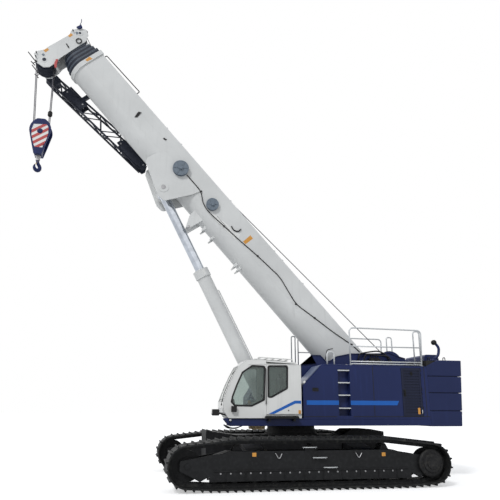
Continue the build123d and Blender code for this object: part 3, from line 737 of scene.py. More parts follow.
def make_house_trim():
    """Stripes, seams, latches, hatches and the exhaust of the houses."""
    y = DECK_HALF

    def stripes(bm):
        for x0, x1, lean in ((-0.05, LADDER_X[1], 0), (LADDER_X[0], -2.78, 0.06)):
            slab(bm, ((x0, 2.00), (x0, 2.12), (x1, 2.12), (x1 + lean, 2.00)), y, y + 0.003)
    piece("house_stripe", "upper", "navy_paint", stripes, BLUE_STRIPE)

    def seams(bm):
        for x in (HOUSE_REAR + 0.10, -2.03):
            add_block(bm, x - 0.009, x + 0.009, y, y + 0.002, 1.70, HOUSE_TOP - 0.02)
        for x0, x1 in ((HOUSE_REAR, LADDER_X[0] - 0.06), (LADDER_X[1] + 0.06, 0.04)):
            add_block(bm, x0, x1, y, y + 0.002, 1.681, 1.699)
            add_block(bm, x0, x1, y, y + 0.002, 1.632, 1.645)
        for x in (HOUSE_REAR + 1.7, -0.70, 0.30):
            add_block(bm, x - 0.009, x + 0.009, -y - 0.002, -y, 1.69, RIGHT_TOP - 0.06)
        for index in range(14):
            z = 1.81 + 0.07 * index
            add_block(bm, HOUSE_REAR + 0.26, HOUSE_REAR + 1.50, -y - 0.004, -y, z, z + 0.034)
    piece("house_seams", "upper", "black_paint", seams, GASKET)

    def edges(bm):
        for side, top, front in ((1, HOUSE_TOP, -0.53), (-1, RIGHT_TOP, 0.70)):
            add_tube(bm, ((HOUSE_REAR, side * (y - 0.012), top - 0.012),
                          (front, side * (y - 0.012), top - 0.012)), 0.017)
    piece("house_roof_edges", "upper", "navy_paint", edges, smooth=True)

    def sloping(bm):
        normal = Vector((0.57, 0, 0.56)).normalized()
        corners = [Vector((x, py, z)) for x, py, z in ((0.02, 1.46, 2.56), (-0.48, 1.46, 3.07),
                                                       (-0.48, 0.70, 3.07), (0.02, 0.70, 2.56))]
        add_prism(bm, corners, normal * 0.012)
    # The panel's pale blue-grey is painted sky light and sheen on the sloping front
    piece("house_slope_panel", "upper", "slate_paint", sloping, SLOPE_SKY_SHEEN, bevel=0.003)

    def latches(bm):
        outer = rounded(rect(-0.22, 2.36, -0.40, 2.46), 0.03)
        slab(bm, outer, y, y + 0.005)
        add_frame(bm, at_y(outer, y), at_y(rounded(rect(-0.24, 2.38, -0.38, 2.44), 0.02), y), (0, 0.009, 0))
    piece("house_latch", "upper", "black_paint", latches)

    def door_latches(bm):
        for x, z, tall in ((-3.21, 2.88, 0.05), (-2.97, 2.34, 0.10)):
            slab(bm, rounded(rect_round(x, z, 0.035, tall), 0.02), y + 0.01, y + 0.018)
            add_tube(bm, ((x, y + 0.035, z - 0.6 * tall), (x, y + 0.035, z + 0.6 * tall)), 0.009)
            for end in (-0.5, 0.5):
                add_tube(bm, ((x, y + 0.015, z + end * tall), (x, y + 0.036, z + end * tall)), 0.007)
    piece("engine_door_latches", "engine_door", "black_paint", door_latches)

    def door_blank(bm):
        slab(bm, rounded(rect(-3.34, 1.76, -3.41, 1.93), 0.01), y + 0.01, y + 0.013)
    piece("engine_door_blank", "engine_door", "black_paint", door_blank, AMBER)

    def door_mark(bm):
        slab(bm, rect(-3.47, 1.78, -3.485, 1.88), y + 0.01, y + 0.013)
    piece("engine_door_mark", "engine_door", "white_paint", door_mark)

    def roof(bm):
        for x0, x1, y0, y1, top in ((-3.2, -2.3, 0.78, 1.30, HOUSE_TOP),
                                    (-2.0, -1.5, 0.80, 1.30, HOUSE_TOP),
                                    (-3.3, -2.2, -1.30, -0.80, RIGHT_TOP),
                                    (-1.6, -0.9, -1.30, -0.80, RIGHT_TOP)):
            add_block(bm, x0, x1, y0, y1, top, top + 0.012)
            add_block(bm, x0 - 0.02, x1 + 0.02, y0 - 0.02, y1 + 0.02, top + 0.012, top + 0.022)
    piece("house_roof_hatches", "upper", "navy_paint", roof, bevel=0.008)

    def exhaust(bm):
        add_tube(bm, bend_path(((-2.75, -1.05, RIGHT_TOP + 0.04), (-2.75, -1.05, RIGHT_TOP + 0.20),
                                (-2.95, -1.05, RIGHT_TOP + 0.27)), 0.12, 8), 0.055, 20)
    piece("exhaust_stack", "upper", "cast_iron", exhaust, smooth=True)


def make_deck():
    """The frame under the houses, with a tapering nose under the cab alone and a lip along its edges."""
    low, top = 1.45, 1.65

    def deck(bm):
        outline = ((HOUSE_REAR, -DECK_HALF), (1.17, -DECK_HALF), (1.17, -0.62), (1.10, 0.62), (2.03, 0.64),
                   (2.07, DECK_HALF), (HOUSE_REAR, DECK_HALF))
        add_prism(bm, [(x, y, low) for x, y in outline], (0, 0, top - low))
        slab(bm, ((2.05, low), (2.10, low + 0.02), (2.24, top - 0.03), (2.24, top), (2.05, top)), 1.28,
             DECK_HALF - 0.001)
        slab(bm, ((2.0, low), (2.03, low + 0.02), (2.10, top - 0.03), (2.10, top), (2.0, top)), 0.70, 1.285)
        for z in (low, top - 0.03):
            add_block(bm, -3.70, 2.06, DECK_HALF - 0.001, DECK_HALF + 0.008, z + 0.003, z + 0.027)
            add_block(bm, -3.70, 1.16, -DECK_HALF - 0.008, -DECK_HALF + 0.001, z + 0.003, z + 0.027)
    piece("deck_frame", "upper", "navy_paint", deck, bevel=0.006, replaces=("turntable_deck",))


make_deck()
make_boom_foot()
make_railings()
make_house_trim()


# Counterweight: the top slab slopes down to the houses, with the lifting beam and arm on it
COUNTER_SEAMS = (1.42, 1.85, 2.35, 2.82, 3.29)


def make_counterweight():
    """Four slabs with dark joints between them, and the lifting gear on top."""
    front, top = HOUSE_REAR, COUNTER_SEAMS[-1]

    def slabs(bm):
        for index, (z0, z1) in enumerate(zip(COUNTER_SEAMS, COUNTER_SEAMS[1:])):
            rear = -4.70 - 0.038 * index
            outline = [(front, z0 + 0.006), (front, z1 - 0.006), (rear - 0.035, z1 - 0.006),
                       (rear, z0 + 0.006)]
            if z1 == top:
                outline[1:2] = [(front, HOUSE_TOP + 0.01), (front - 0.37, z1 - 0.006)]
            slab(bm, outline, -DECK_HALF, DECK_HALF)
    piece("counterweight_slabs", "upper", "navy_paint", slabs, COUNTER, bevel=0.022,
          replaces=("counterweight_1", "counterweight_2", "counterweight_3", "counterweight_4"))

    def core(bm):
        add_block(bm, -4.69, front - 0.002, -1.47, 1.47, 1.45, 3.27)
    piece("counterweight_core", "upper", "black_paint", core, GASKET)

    def beam(bm):
        slab(bm, ((front - 0.42, top), (front - 0.42, top + 0.18), (front - 0.48, top + 0.235),
                  (front - 0.82, top + 0.235), (front - 0.90, top + 0.12), (front - 0.90, top)), -0.65, 0.65)
        for y in (-1.15, 1.15):
            for x in (-4.0, -4.5):
                add_block(bm, x - 0.03, x + 0.03, y - 0.10, y + 0.10, top, top + 0.015)
    piece("lifting_beam", "upper", "navy_paint", beam, bevel=0.012)

    def arm(bm):
        add_tube(bm, bend_path(((-4.24, 1.0, top + 0.04), (-4.42, 1.0, top + 0.19),
                                (-4.455, 1.0, top + 0.42), (-4.33, 1.0, top + 0.56)), 0.09), 0.042, 14)
        add_block(bm, -4.33, -4.15, 0.93, 1.07, top, top + 0.06)
    piece("folded_arm", "upper", "navy_paint", arm, smooth=True)

    def arm_head(bm):
        add_lathe(bm, (-4.30, 0.93, top + 0.57), (0, 1, 0),
                  ((0, 0.05), (0.03, 0.075), (0.11, 0.075), (0.14, 0.05)), 20)
        for y in (-1.15, 1.15):
            for x in (-4.0, -4.5):
                add_tube(bm, bend_path(((x, y - 0.06, top + 0.01), (x, y - 0.06, top + 0.10),
                                        (x, y + 0.06, top + 0.10), (x, y + 0.06, top + 0.01)), 0.05), 0.012,
                         10)
    piece("lifting_eyes", "upper", "black_paint", arm_head, smooth=True)

    def seams(bm):
        for z in COUNTER_SEAMS[1:-1]:
            for y in (-0.9, 0.9):
                slab(bm, rounded(rect(-4.745, z - 0.05, -4.70, z + 0.05), 0.01), y - 0.06, y + 0.06)
    piece("counterweight_stops", "upper", "black_paint", seams)


def make_winch_ropes():
    """Rope wound on both winch drums."""
    def wraps(bm):
        for (x, z), radius in (((-3.10, 3.22), 0.358), ((-2.75, 2.30), 0.358)):
            turns, steps = 22, 20
            path = []
            for index in range(turns * steps + 1):
                angle = 2 * math.pi * index / steps
                path.append((x + radius * math.cos(angle), -0.36 + 0.72 * index / (turns * steps),
                             z + radius * math.sin(angle)))
            add_tube(bm, path, 0.0145, 6)
    piece("winch_rope_wraps", "upper", "rope_steel", wraps, smooth=True)


# Cab
CAB_OUT = 1.55
DOOR_FACE, DOOR_PROUD = 1.552, 1.5525
FAR_FACE = 0.596
CAB_FRONT = ((2.14, 1.67), (2.23, 1.81), (2.26, 1.92), (2.26, 2.07), (2.19, 2.26), (2.10, 2.49),
             (1.98, 2.75), (1.84, 3.01), (1.64, 3.17))
SIDE_WINDOW = [(2.04, 2.07), (1.96, 1.99), (1.50, 1.98), (1.17, 2.13), (1.15, 3.00), (1.49, 3.01),
               (1.75, 2.83), (1.90, 2.50), (2.01, 2.21)]
DOOR_WINDOW = [(1.03, 3.01), (0.51, 3.02), (0.52, 2.44), (0.95, 2.21), (1.03, 2.21)]


def gasket(name, window, y, body):
    def rim(bm):
        add_frame(bm, at_y(rounded([tuple(p) for p in offset(list(window), 0.032)], 0.07), y),
                  at_y(rounded([tuple(p) for p in offset(list(window), -0.012)], 0.05), y), (0, 0.010, 0))
    piece(name, body, "black_paint", rim, GASKET)


def make_cab_trim():
    """Window gaskets, stripe, windscreen, wiper, gutter and rails of the cab."""
    gasket("side_window_gasket", SIDE_WINDOW, CAB_OUT, "upper")
    gasket("door_window_gasket", DOOR_WINDOW, DOOR_FACE, "cab_door")

    def far_gasket(bm):
        add_frame(bm, at_y(rounded([tuple(p) for p in offset(list(SIDE_WINDOW), 0.03)], 0.07), FAR_FACE),
                  at_y(rounded([tuple(p) for p in offset(list(SIDE_WINDOW), -0.01)], 0.05), FAR_FACE),
                  (0, 0.006, 0))
    piece("far_window_gasket", "upper", "black_paint", far_gasket, GASKET)

    def stripe(bm):
        slab(bm, ((1.04, 1.762), (0.88, 1.762), (0.29, 2.03), (0.125, 2.03), (0.125, 2.11), (0.30, 2.11)),
             1.5525, 1.5545)
    piece("cab_stripe", "cab_door", "navy_paint", stripe, BLUE_STRIPE)

    windscreen = [p for p in CAB_FRONT if p[1] > 1.95]

    def glass_pane(bm):
        slab(bm, ribbon(windscreen, 0.006), 0.66, 1.49)
    piece("windscreen", "upper", "cab_glass", glass_pane, CLEAR_GLASS)

    def frame_bands(bm):
        outer = [(x + 0.004, z) for x, z in CAB_FRONT[1:]]
        for y0, y1 in ((0.60, 0.68), (1.47, 1.55)):
            slab(bm, ribbon(outer, -0.010), y0, y1)
        for low, high in ((0, 3), (6, 8)):
            slab(bm, ribbon(outer[low:high], -0.010), 0.66, 1.49)
    piece("windscreen_frame", "upper", "white_paint", frame_bands)

    def edges(bm):
        outer = [(x + 0.005, z) for x, z in windscreen]
        for y0, y1 in ((0.60, 0.66), (1.40, 1.465)):
            slab(bm, ribbon(outer, -0.008), y0, y1)
    piece("windscreen_gaskets", "upper", "black_paint", edges, GASKET)

    def wiper(bm):
        arm = [(x + 0.035, 1.30, z) for x, z in ((2.25, 2.00), (2.19, 2.26), (2.10, 2.49), (1.98, 2.75))]
        add_tube(bm, arm, 0.009)
        blade = [(x + 0.022, 1.22, z) for x, z in ((2.19, 2.26), (2.10, 2.49), (1.98, 2.75), (1.90, 2.90))]
        add_tube(bm, blade, 0.008)
        add_tube(bm, ((2.135, 1.30, 2.49), (2.122, 1.22, 2.49)), 0.007)
        add_lathe(bm, (2.25, 1.30, 2.00), (1, 0, 0), ((0, 0.03), (0.03, 0.03), (0.045, 0.02)), 14)
    piece("wiper", "upper", "black_paint", wiper, GASKET, smooth=True)

    def gutter(bm):
        slab(bm, ribbon(((1.60, 3.065), (1.10, 3.085), (0.20, 3.085)), 0.014), CAB_OUT, CAB_OUT + 0.014)
        slab(bm, ((0.12, 1.655), (2.11, 1.655), (2.125, 1.668), (0.12, 1.668)), CAB_OUT, CAB_OUT + 0.006)
    piece("cab_gutter", "upper", "white_paint", gutter)

    def keyhole(bm):
        add_lathe(bm, (0.48, DOOR_FACE, 1.85), (0, 1, 0), ((0, 0.018), (0.006, 0.018), (0.008, 0.012)), 16)
    piece("cab_door_lock", "cab_door", "black_paint", keyhole, GASKET)

    def rod(bm):
        add_tube(bm, ((-0.01, 1.485, 2.43), (-0.01, 1.485, 1.91)), 0.010, 10)
        for z in (2.42, 1.92):
            add_tube(bm, ((-0.01, 1.485, z), (-0.06, 1.47, z)), 0.007, 8)
        add_lathe(bm, (-0.01, 1.44, 2.60), (0, 1, 0), ((0, 0.03), (0.03, 0.045), (0.055, 0.03)), 16)
    piece("cab_rear_rod", "upper", "white_paint", rod, smooth=True)

    def grab_rail(bm):
        add_tube(bm, bend_path(((1.115, CAB_OUT - 0.002, 2.02), (1.115, CAB_OUT + 0.05, 2.02),
                                (1.115, CAB_OUT + 0.05, 2.95), (1.115, CAB_OUT - 0.002, 2.95)), 0.03),
                 0.011, 10)
    piece("cab_grab_rail", "upper", "black_paint", grab_rail, GASKET, smooth=True)

    def amber(bm):
        slab(bm, rounded(rect(0.205, 1.765, 0.135, 1.86), 0.012), DOOR_PROUD, 1.564)
    piece("side_lamp", "cab_door", "white_paint", amber, AMBER, bevel=0.003)


def make_cab_fittings():
    """Step, mirror, lamps and roof guard of the cab."""
    def step(bm):
        slab(bm, ((0.21, 1.64), (1.16, 1.64), (1.13, 1.705), (0.24, 1.705)), CAB_OUT + 0.001, CAB_OUT + 0.14)
        for x in (0.32, 1.01):
            add_block(bm, x, x + 0.05, DECK_HALF + 0.001, CAB_OUT + 0.12, 1.57, 1.641)
        for index in range(18):
            x = 0.26 + 0.05 * index
            add_block(bm, x, x + 0.012, CAB_OUT + 0.02, CAB_OUT + 0.13, 1.705, 1.712)
    piece("cab_step", "upper", "black_paint", step, bevel=0.003)

    def mirror(bm):
        slab(bm, rounded(rect(1.92, 1.81, 2.06, 1.96), 0.02), CAB_OUT + 0.03, CAB_OUT + 0.11)
        add_block(bm, 1.96, 2.02, CAB_OUT + 0.0005, CAB_OUT + 0.035, 1.86, 1.91)
    piece("mirror_box", "upper", "black_paint", mirror, GASKET, bevel=0.006)

    def lamp(bm):
        add_tube(bm, ((2.13, 1.40, 1.72), (2.40, 1.40, 1.79)), 0.022, 12)
        slab(bm, rounded(rect(2.36, 1.715, 2.55, 1.88), 0.035), 1.305, 1.495)
    piece("work_lamp", "upper", "black_paint", lamp, GASKET, bevel=0.006)

    def lens(bm):
        add_lathe(bm, (2.55, 1.40, 1.80), (1, 0, 0),
                  ((0, 0.068), (0.008, 0.066), (0.014, 0.04), (0.016, 0.01)), 24)
        add_lathe(bm, (2.07, DECK_HALF, 1.60), (0, 1, 0), ((0, 0.03), (0.035, 0.03), (0.045, 0.02)), 20)
    piece("lamp_lenses", "upper", "cab_glass", lens, MATERIALS["white_paint"], smooth=True)

    def nose(bm):
        slab(bm, ((2.10, 1.51), (2.13, 1.63), (2.24, 1.63), (2.13, 1.51)), DECK_HALF, DECK_HALF + 0.06)
    piece("nose_lamp_box", "upper", "navy_paint", nose, bevel=0.006)

    def guard(bm):
        for y in (0.79, 1.36):
            add_tube(bm, bend_path(((1.29, y, 3.17), (1.29, y, 3.27), (0.29, y, 3.225), (0.29, y, 3.12)),
                                   0.045), 0.017, 12)
        for index in range(5):
            x = 0.29 + (index + 0.5) * 0.2
            z = 3.225 + (x - 0.29) * 0.045
            add_tube(bm, ((x, 0.79, z), (x, 1.36, z)), 0.013, 10)
    piece("roof_guard_bars", "upper", "white_paint", guard, smooth=True, replaces=("cab_roof_guard",))

    def hatch(bm):
        slab(bm, ((0.38, 3.147), (1.22, 3.184), (1.22, 3.196), (0.38, 3.159)), 0.82, 1.33)
    piece("roof_window", "upper", "cab_glass", hatch, DARK_PANE, bevel=0.003)


def make_cab_inside():
    """Seat, consoles, dash and screen behind the glass."""
    def shell(bm):
        slab(bm, rounded(((0.56, 1.96), (1.06, 1.96), (1.08, 2.10), (0.60, 2.12)), 0.05), 0.87, 1.28)
        slab(bm, rounded(((0.56, 2.08), (0.70, 2.08), (0.65, 2.72), (0.52, 2.74)), 0.05), 0.88, 1.27)
        slab(bm, rounded(((0.53, 2.72), (0.63, 2.72), (0.62, 2.87), (0.52, 2.87)), 0.04), 0.97, 1.18)
    piece("seat_cushions", "upper", "seat_cloth", shell, bevel=0.03, replaces=("cab_seat",))

    def base(bm):
        slab(bm, ((0.66, 1.70), (1.0, 1.70), (0.94, 1.96), (0.70, 1.96)), 0.93, 1.22)
        for y in (0.79, 1.31):
            slab(bm, rounded(((0.64, 1.70), (1.08, 1.70), (1.08, 2.12), (0.70, 2.12)), 0.04), y, y + 0.05)
            add_tube(bm, ((1.02, y + 0.025, 2.11), (1.05, y + 0.025, 2.21)), 0.012, 10)
            add_lathe(bm, (1.05, y + 0.025, 2.20), (0.2, 0, 1),
                      ((0, 0.018), (0.05, 0.026), (0.08, 0.02), (0.09, 0.008)), 12)
        slab(bm, ((1.90, 1.70), (2.06, 1.70), (2.06, 2.02), (1.92, 2.02)), 0.93, 1.22)
    piece("seat_base_and_consoles", "upper", "black_paint", base, GASKET, bevel=0.008)

    def screens(bm):
        slab(bm, ((1.90, 2.02), (2.08, 2.02), (2.08, 2.06), (1.93, 2.15)), 0.88, 1.27)
        slab(bm, ((1.86, 2.28), (1.88, 2.28), (1.84, 2.46), (1.82, 2.46)), 0.68, 0.90)
    piece("dash_and_screen", "upper", "black_paint", screens, DARK_PANE, bevel=0.006)

    def blank(bm):
        add_block(bm, 1.46, 1.54, 1.20, 1.204, 2.03, 2.11)
        add_tube(bm, ((1.50, 1.20, 1.72), (1.50, 1.20, 2.05)), 0.012, 10)
    piece("cab_inner_blank", "upper", "white_paint", blank, AMBER)


def make_under_deck():
    """Valves and hoses under the deck's front."""
    def valves(bm):
        slab(bm, ((1.42, 1.45), (1.42, 1.36), (1.30, 1.34), (0.99, 1.34), (0.97, 1.45)), 0.72, 0.88)
        for index in range(5):
            add_lathe(bm, (1.03 + 0.08 * index, 0.88, 1.39), (0, 1, 0),
                      ((0, 0.022), (0.03, 0.022), (0.035, 0.014), (0.06, 0.014)), 10)
    piece("under_deck_valves", "upper", "cast_iron", valves, BRASS, bevel=0.004)

    def hoses(bm):
        for index in range(4):
            y = 0.42 + 0.06 * index
            add_tube(bm, bend_path(((2.08, y, 1.46), (1.98 - 0.03 * index, y, 1.37),
                                    (1.72, y, 1.35 + 0.01 * index), (1.50, y, 1.46)), 0.08), 0.014)
    piece("under_deck_hoses", "upper", "black_paint", hoses, GASKET, smooth=True)


make_counterweight()
make_winch_ropes()
make_cab_trim()
make_cab_fittings()
make_cab_inside()
make_under_deck()


# Boom: what is welded and clipped to its outer section
EYE = (9.017, 2.629)
BELLY, SPRING = 2.869, 3.344
LUG_OUTLINE = ((8.227, 3.439), (8.267, 3.234), (8.637, 2.404), (8.707, 2.349), (8.907, 2.334),
               (9.017, 2.369), (9.962, 2.719), (10.072, 2.849), (10.017, 3.199), (9.897, 3.439))
CABLE_SO = ((8.890, 3.478), (8.200, 3.476), (7.890, 3.275), (7.650, 3.222), (7.430, 3.230), (6.900, 3.292),
            (6.230, 3.376), (5.515, 3.485), (4.580, 3.584), (3.640, 3.399), (2.940, 3.563), (2.255, 3.712),
            (1.585, 3.903), (1.260, 3.942))
CLIPS = (1, 5, 7, 9, 10, 12)
GUIDE_S = (3.95, 4.925, 5.313, 7.448, 9.91, 10.62)


def make_boom_fittings():
    """Lugs, brackets, rollers, cable, weld lines and blank plates of the outer section."""
    def lugs(bm):
        for side in (-1, 1):
            boom_slab(bm, LUG_OUTLINE, side * (BOOM_HALF + 0.0005), side * 0.513)
            add_lathe(bm, so(*EYE, side * 0.505), (0, side, 0), ((0, 0.165), (0.02, 0.165), (0.022, 0.12)),
                      40)
            boom_slab(bm, ((7.48, 2.98), (7.55, 2.46), (7.65, 2.41), (7.85, 2.72), (7.90, 2.98)),
                      side * 0.262, side * 0.288)
            for s in (5.60, 5.76, 6.88, 7.27):
                boom_slab(bm, ((s - 0.05, 2.96), (s - 0.02, 2.74), (s + 0.02, 2.74), (s + 0.05, 2.96)),
                          side * 0.185, side * 0.200)
            for s in GUIDE_S:
                boom_slab(bm, ((s - 0.06, BOOM_TOP - 0.012), (s + 0.06, BOOM_TOP - 0.012),
                               (s + 0.025, BOOM_TOP + 0.14), (s - 0.025, BOOM_TOP + 0.14)), side * 0.160,
                          side * 0.172)
    piece("boom_brackets", "boom", "boom_paint", lugs, bevel=0.003)

    def rollers(bm):
        for s in GUIDE_S:
            add_lathe(bm, so(s, BOOM_TOP + 0.112, -0.17), (0, 1, 0),
                      ((0, 0.012), (0.02, 0.012), (0.02, 0.024), (0.32, 0.024), (0.32, 0.012),
                       (0.34, 0.012)), 14)
        for side in (-1, 1):
            add_lathe(bm, so(7.60, 2.479, side * 0.265), (0, side, 0),
                      ((0, 0.04), (0.045, 0.04), (0.05, 0.03)), 20)
    piece("rope_guide_rollers", "boom", "bare_steel", rollers, smooth=False)

    def cable(bm):
        add_tube(bm, bend_path(boom_path(CABLE_SO, 0.493), 0.20, 6), 0.014, 10)
        add_tube(bm, bend_path(boom_path(((13.66, 4.01), (13.66, 4.10), (12.03, 4.134), (12.03, 4.01)),
                                         0.43), 0.045), 0.016, 10)
        add_tube(bm, bend_path(boom_path(((6.75, 3.47), (6.60, 3.44), (6.48, 3.52), (6.49, 3.65)), 0.50),
                               0.08), 0.018, 10)
    piece("boom_side_cable", "boom", "black_paint", cable, GASKET, smooth=True)

    def clips(bm):
        for index in CLIPS:
            s, o = CABLE_SO[index]
            boom_slab(bm, rounded(rect_round(s, o, 0.022, 0.026), 0.006), BOOM_HALF + 0.0005, 0.511)
        boom_slab(bm, ((11.40, 3.42), (11.48, 3.64), (11.40, 3.70), (11.35, 3.49)), BOOM_HALF,
                  BOOM_HALF + 0.02)
        boom_slab(bm, ((10.30, 3.67), (10.30, 3.72), (10.20, 3.75), (10.20, 3.70)), BOOM_HALF,
                  BOOM_HALF + 0.015)
    piece("boom_cable_clips", "boom", "black_paint", clips, GASKET)

    def seams(bm):
        boom_slab(bm, ribbon(((11.78, 3.66), (10.33, 3.70), (9.48, 3.69)), 0.012), BOOM_HALF,
                  BOOM_HALF + 0.003)
        for side in (-1, 1):
            boom_slab(bm, ribbon(((13.74, SPRING), (11.0, SPRING), (1.0, SPRING)), 0.010), side * BOOM_HALF,
                      side * (BOOM_HALF + 0.003))
    piece("boom_weld_lines", "boom", "boom_paint", seams)

    def channel(bm):
        boom_slab(bm, rounded(((7.50, 3.20), (7.50, 3.30), (6.80, 3.43), (6.37, 3.52), (6.33, 3.41),
                               (6.37, 3.28)), 0.05), BOOM_HALF + 0.0002, BOOM_HALF + 0.003)
    piece("boom_side_plate", "boom", "white_paint", channel)

    def blanks(bm):
        boom_slab(bm, ((6.15, 3.44), (6.04, 3.44), (6.03, 3.75), (6.16, 3.76)), BOOM_HALF, BOOM_HALF + 0.002)
    piece("boom_blank", "boom", "white_paint", blanks, AMBER)

    def label(bm):
        boom_slab(bm, ((13.87, 3.42), (13.89, 3.60), (13.77, 3.64), (13.79, 3.44)), BOOM_HALF + 0.038,
                  BOOM_HALF + 0.040)
    piece("collar_blank", "boom", "white_paint", label, AMBER)


def make_reels():
    """The two cable reels on the boom's left side."""
    def reel(bm):
        for s, o, radius, y in ((9.16, 3.44, 0.25, 0.5135), (7.65, 3.46, 0.195, 0.4755)):
            centre = so(s, o, y)
            add_lathe(bm, centre, (0, 1, 0),
                      ((0, radius), (0.014, radius), (0.02, radius - 0.035), (0.084, radius - 0.035),
                       (0.09, radius), (0.104, radius), (0.106, radius - 0.02), (0.098, radius - 0.03),
                       (0.098, 0.08), (0.108, 0.07), (0.15, 0.062)), 40)
            for index in range(6):
                a = math.pi * index / 3
                out = Vector((math.cos(a), 0, math.sin(a)))
                across = Vector((-out.z, 0, out.x)) * 0.012
                near, far = centre + out * 0.06, centre + out * (radius - 0.02)
                lift = Vector((0, 0.098, 0))
                add_prism(bm, [near - across + lift, near + across + lift, far + across + lift,
                               far - across + lift], (0, 0.012, 0))
            places = [centre + Vector((0.045 * math.cos(a), 0.15, 0.045 * math.sin(a))) for a in
                      (math.pi * i / 2 for i in range(4))]
            add_bolts(bm, places, (0, 1, 0), 0.007, 0.008)
    piece("cable_reel_drums", "boom", "reel_paint", reel, replaces=("cable_reels",))


HEAD_OUTLINE = ((14.51, 3.93), (14.46, 2.87), (14.40, 2.70), (14.385, 2.42), (14.48, 2.27), (14.72, 2.20),
                (15.04, 2.32), (15.05, 2.48), (14.97, 2.68), (14.99, 2.80), (14.99, 3.65), (15.09, 3.78),
                (15.02, 4.06), (14.86, 4.19), (14.69, 4.15))
HEAD_Y = (0.307, 0.340)
SHEAVE = (14.68, 2.45)
SHEAVE_RADIUS = 0.29
TOP_SHEAVE = (14.85, 3.95)


def sheave_rows(places, radius, axle, end):
    rows = [(-end, axle)]
    for y in places:
        rows += [(y - 0.036, axle), (y - 0.036, radius), (y - 0.028, radius), (y, radius - 0.04),
                 (y + 0.028, radius), (y + 0.036, radius), (y + 0.036, axle)]
    return rows + [(end, axle)]


def make_head():
    """The boom head: side plates, two sets of sheaves, rods and blank plates."""
    def plates(bm):
        for side in (-1, 1):
            boom_slab(bm, HEAD_OUTLINE, side * HEAD_Y[0], side * HEAD_Y[1])
            for place in (SHEAVE, TOP_SHEAVE):
                add_lathe(bm, so(*place, side * HEAD_Y[1]), (0, side, 0),
                          ((0, 0.10), (0.006, 0.10), (0.008, 0.07)), 30)
        boom_slab(bm, rect(14.95, 2.83, 14.984, 3.64), -0.308, 0.308)
        boom_slab(bm, rect(14.56, 3.50, 14.96, 3.53), -0.308, 0.308)
    piece("head_plates", "section_5", "boom_paint", plates, bevel=0.003, replaces=("boom_head",))

    def sheaves(bm):
        add_lathe(bm, so(*SHEAVE), (0, 1, 0),
                  sheave_rows((-0.20, -0.10, 0, 0.10, 0.20), SHEAVE_RADIUS, 0.06, 0.355), 40)
        add_lathe(bm, so(*TOP_SHEAVE), (0, 1, 0), sheave_rows((-0.06, 0.06), 0.19, 0.04, 0.352), 32)
    piece("sheave_sets", "section_5", "slate_paint", sheaves, replaces=("head_sheaves",))

    def rods(bm):
        for s, o in ((15.01, 2.40), (15.04, 3.82)):
            add_disc(bm, so(s, o, -0.415), (0, 1, 0), 0.83, 0.017, 14)
        for side in (-1, 1):
            for path in (((15.16, 2.21), (14.78, 2.19)), ((14.84, 2.08), (14.66, 2.09)),
                         ((14.76, 3.35), (14.60, 3.33))):
                add_tube(bm, boom_path(path, side * 0.355), 0.016, 10)
            add_tube(bm, (so(14.90, 2.30, side * 0.338), so(14.90, 2.30, side * 0.415)), 0.017, 12)
            for s, o in ((14.80, 2.20), (14.75, 2.085)):
                add_tube(bm, (so(s, o, side * 0.36), so(14.75, 2.24, side * 0.345)), 0.012, 8)
    piece("head_rods", "section_5", "black_paint", rods, smooth=True)

    def ring(bm):
        centre = so(14.63, 3.74, HEAD_Y[1])
        path = [centre + Vector((0.085 * math.cos(a), 0.02, 0.085 * math.sin(a))) for a in
                (2 * math.pi * i / 24 for i in range(24))]
        add_tube(bm, path, 0.016, 8, closed=True)
        for a in (0.6, 2.6, 4.7):
            add_tube(bm, (centre + Vector((0.085 * math.cos(a), 0.0, 0.085 * math.sin(a))),
                          centre + Vector((0.085 * math.cos(a), 0.022, 0.085 * math.sin(a)))), 0.010, 8)
        add_tube(bm, bend_path(boom_path(((14.88, 4.16), (14.80, 4.22), (14.65, 4.05), (14.30, 3.96),
                                                           (14.15, 3.98)), 0.30), 0.06), 0.010, 8)
    piece("head_cable_and_ring", "section_5", "black_paint", ring, GASKET, smooth=True)

    def blanks(bm):
        for outline in (((14.97, 2.63), (14.87, 2.63), (14.88, 2.78), (14.965, 2.78)),
                        ((14.98, 3.57), (14.90, 3.59), (14.92, 3.73), (15.01, 3.71))):
            both_slabs(bm, outline, HEAD_Y[1], HEAD_Y[1] + 0.003, boom_slab)
    piece("head_blanks", "section_5", "white_paint", blanks, AMBER)

    def squares(bm):
        for outline in (((14.87, 2.49), (14.79, 2.50), (14.81, 2.57), (14.88, 2.55)),
                        ((14.96, 3.85), (14.86, 3.83), (14.87, 3.92), (14.95, 3.90))):
            both_slabs(bm, outline, HEAD_Y[1], HEAD_Y[1] + 0.012, boom_slab)
    piece("head_pads", "section_5", "reel_paint", squares, bevel=0.003)

    def wand(bm):
        boom_slab(bm, ((15.07, 3.98), (15.06, 4.16), (14.96, 4.13), (14.97, 4.02)), 0.34, 0.40)
        add_tube(bm, bend_path(boom_path(((15.05, 4.08), (15.16, 4.25), (15.23, 4.30)), 0.37), 0.05), 0.011,
                 8)
    piece("head_wand", "section_5", "navy_paint", wand)

    def tab(bm):
        boom_slab(bm, ((15.0, 4.10), (14.95, 4.22), (14.70, 4.16), (14.82, 4.12)), 0.18, 0.21)
    piece("head_tab", "section_5", "white_paint", tab, bevel=0.002)

    def red(bm):
        boom_slab(bm, ((14.48, 2.74), (14.36, 2.58), (14.25, 2.53), (14.22, 2.58), (14.32, 2.66),
                       (14.44, 2.80)), 0.345, 0.375)
    piece("head_red_switch", "section_5", "white_paint", red, RED_BAND, bevel=0.006)


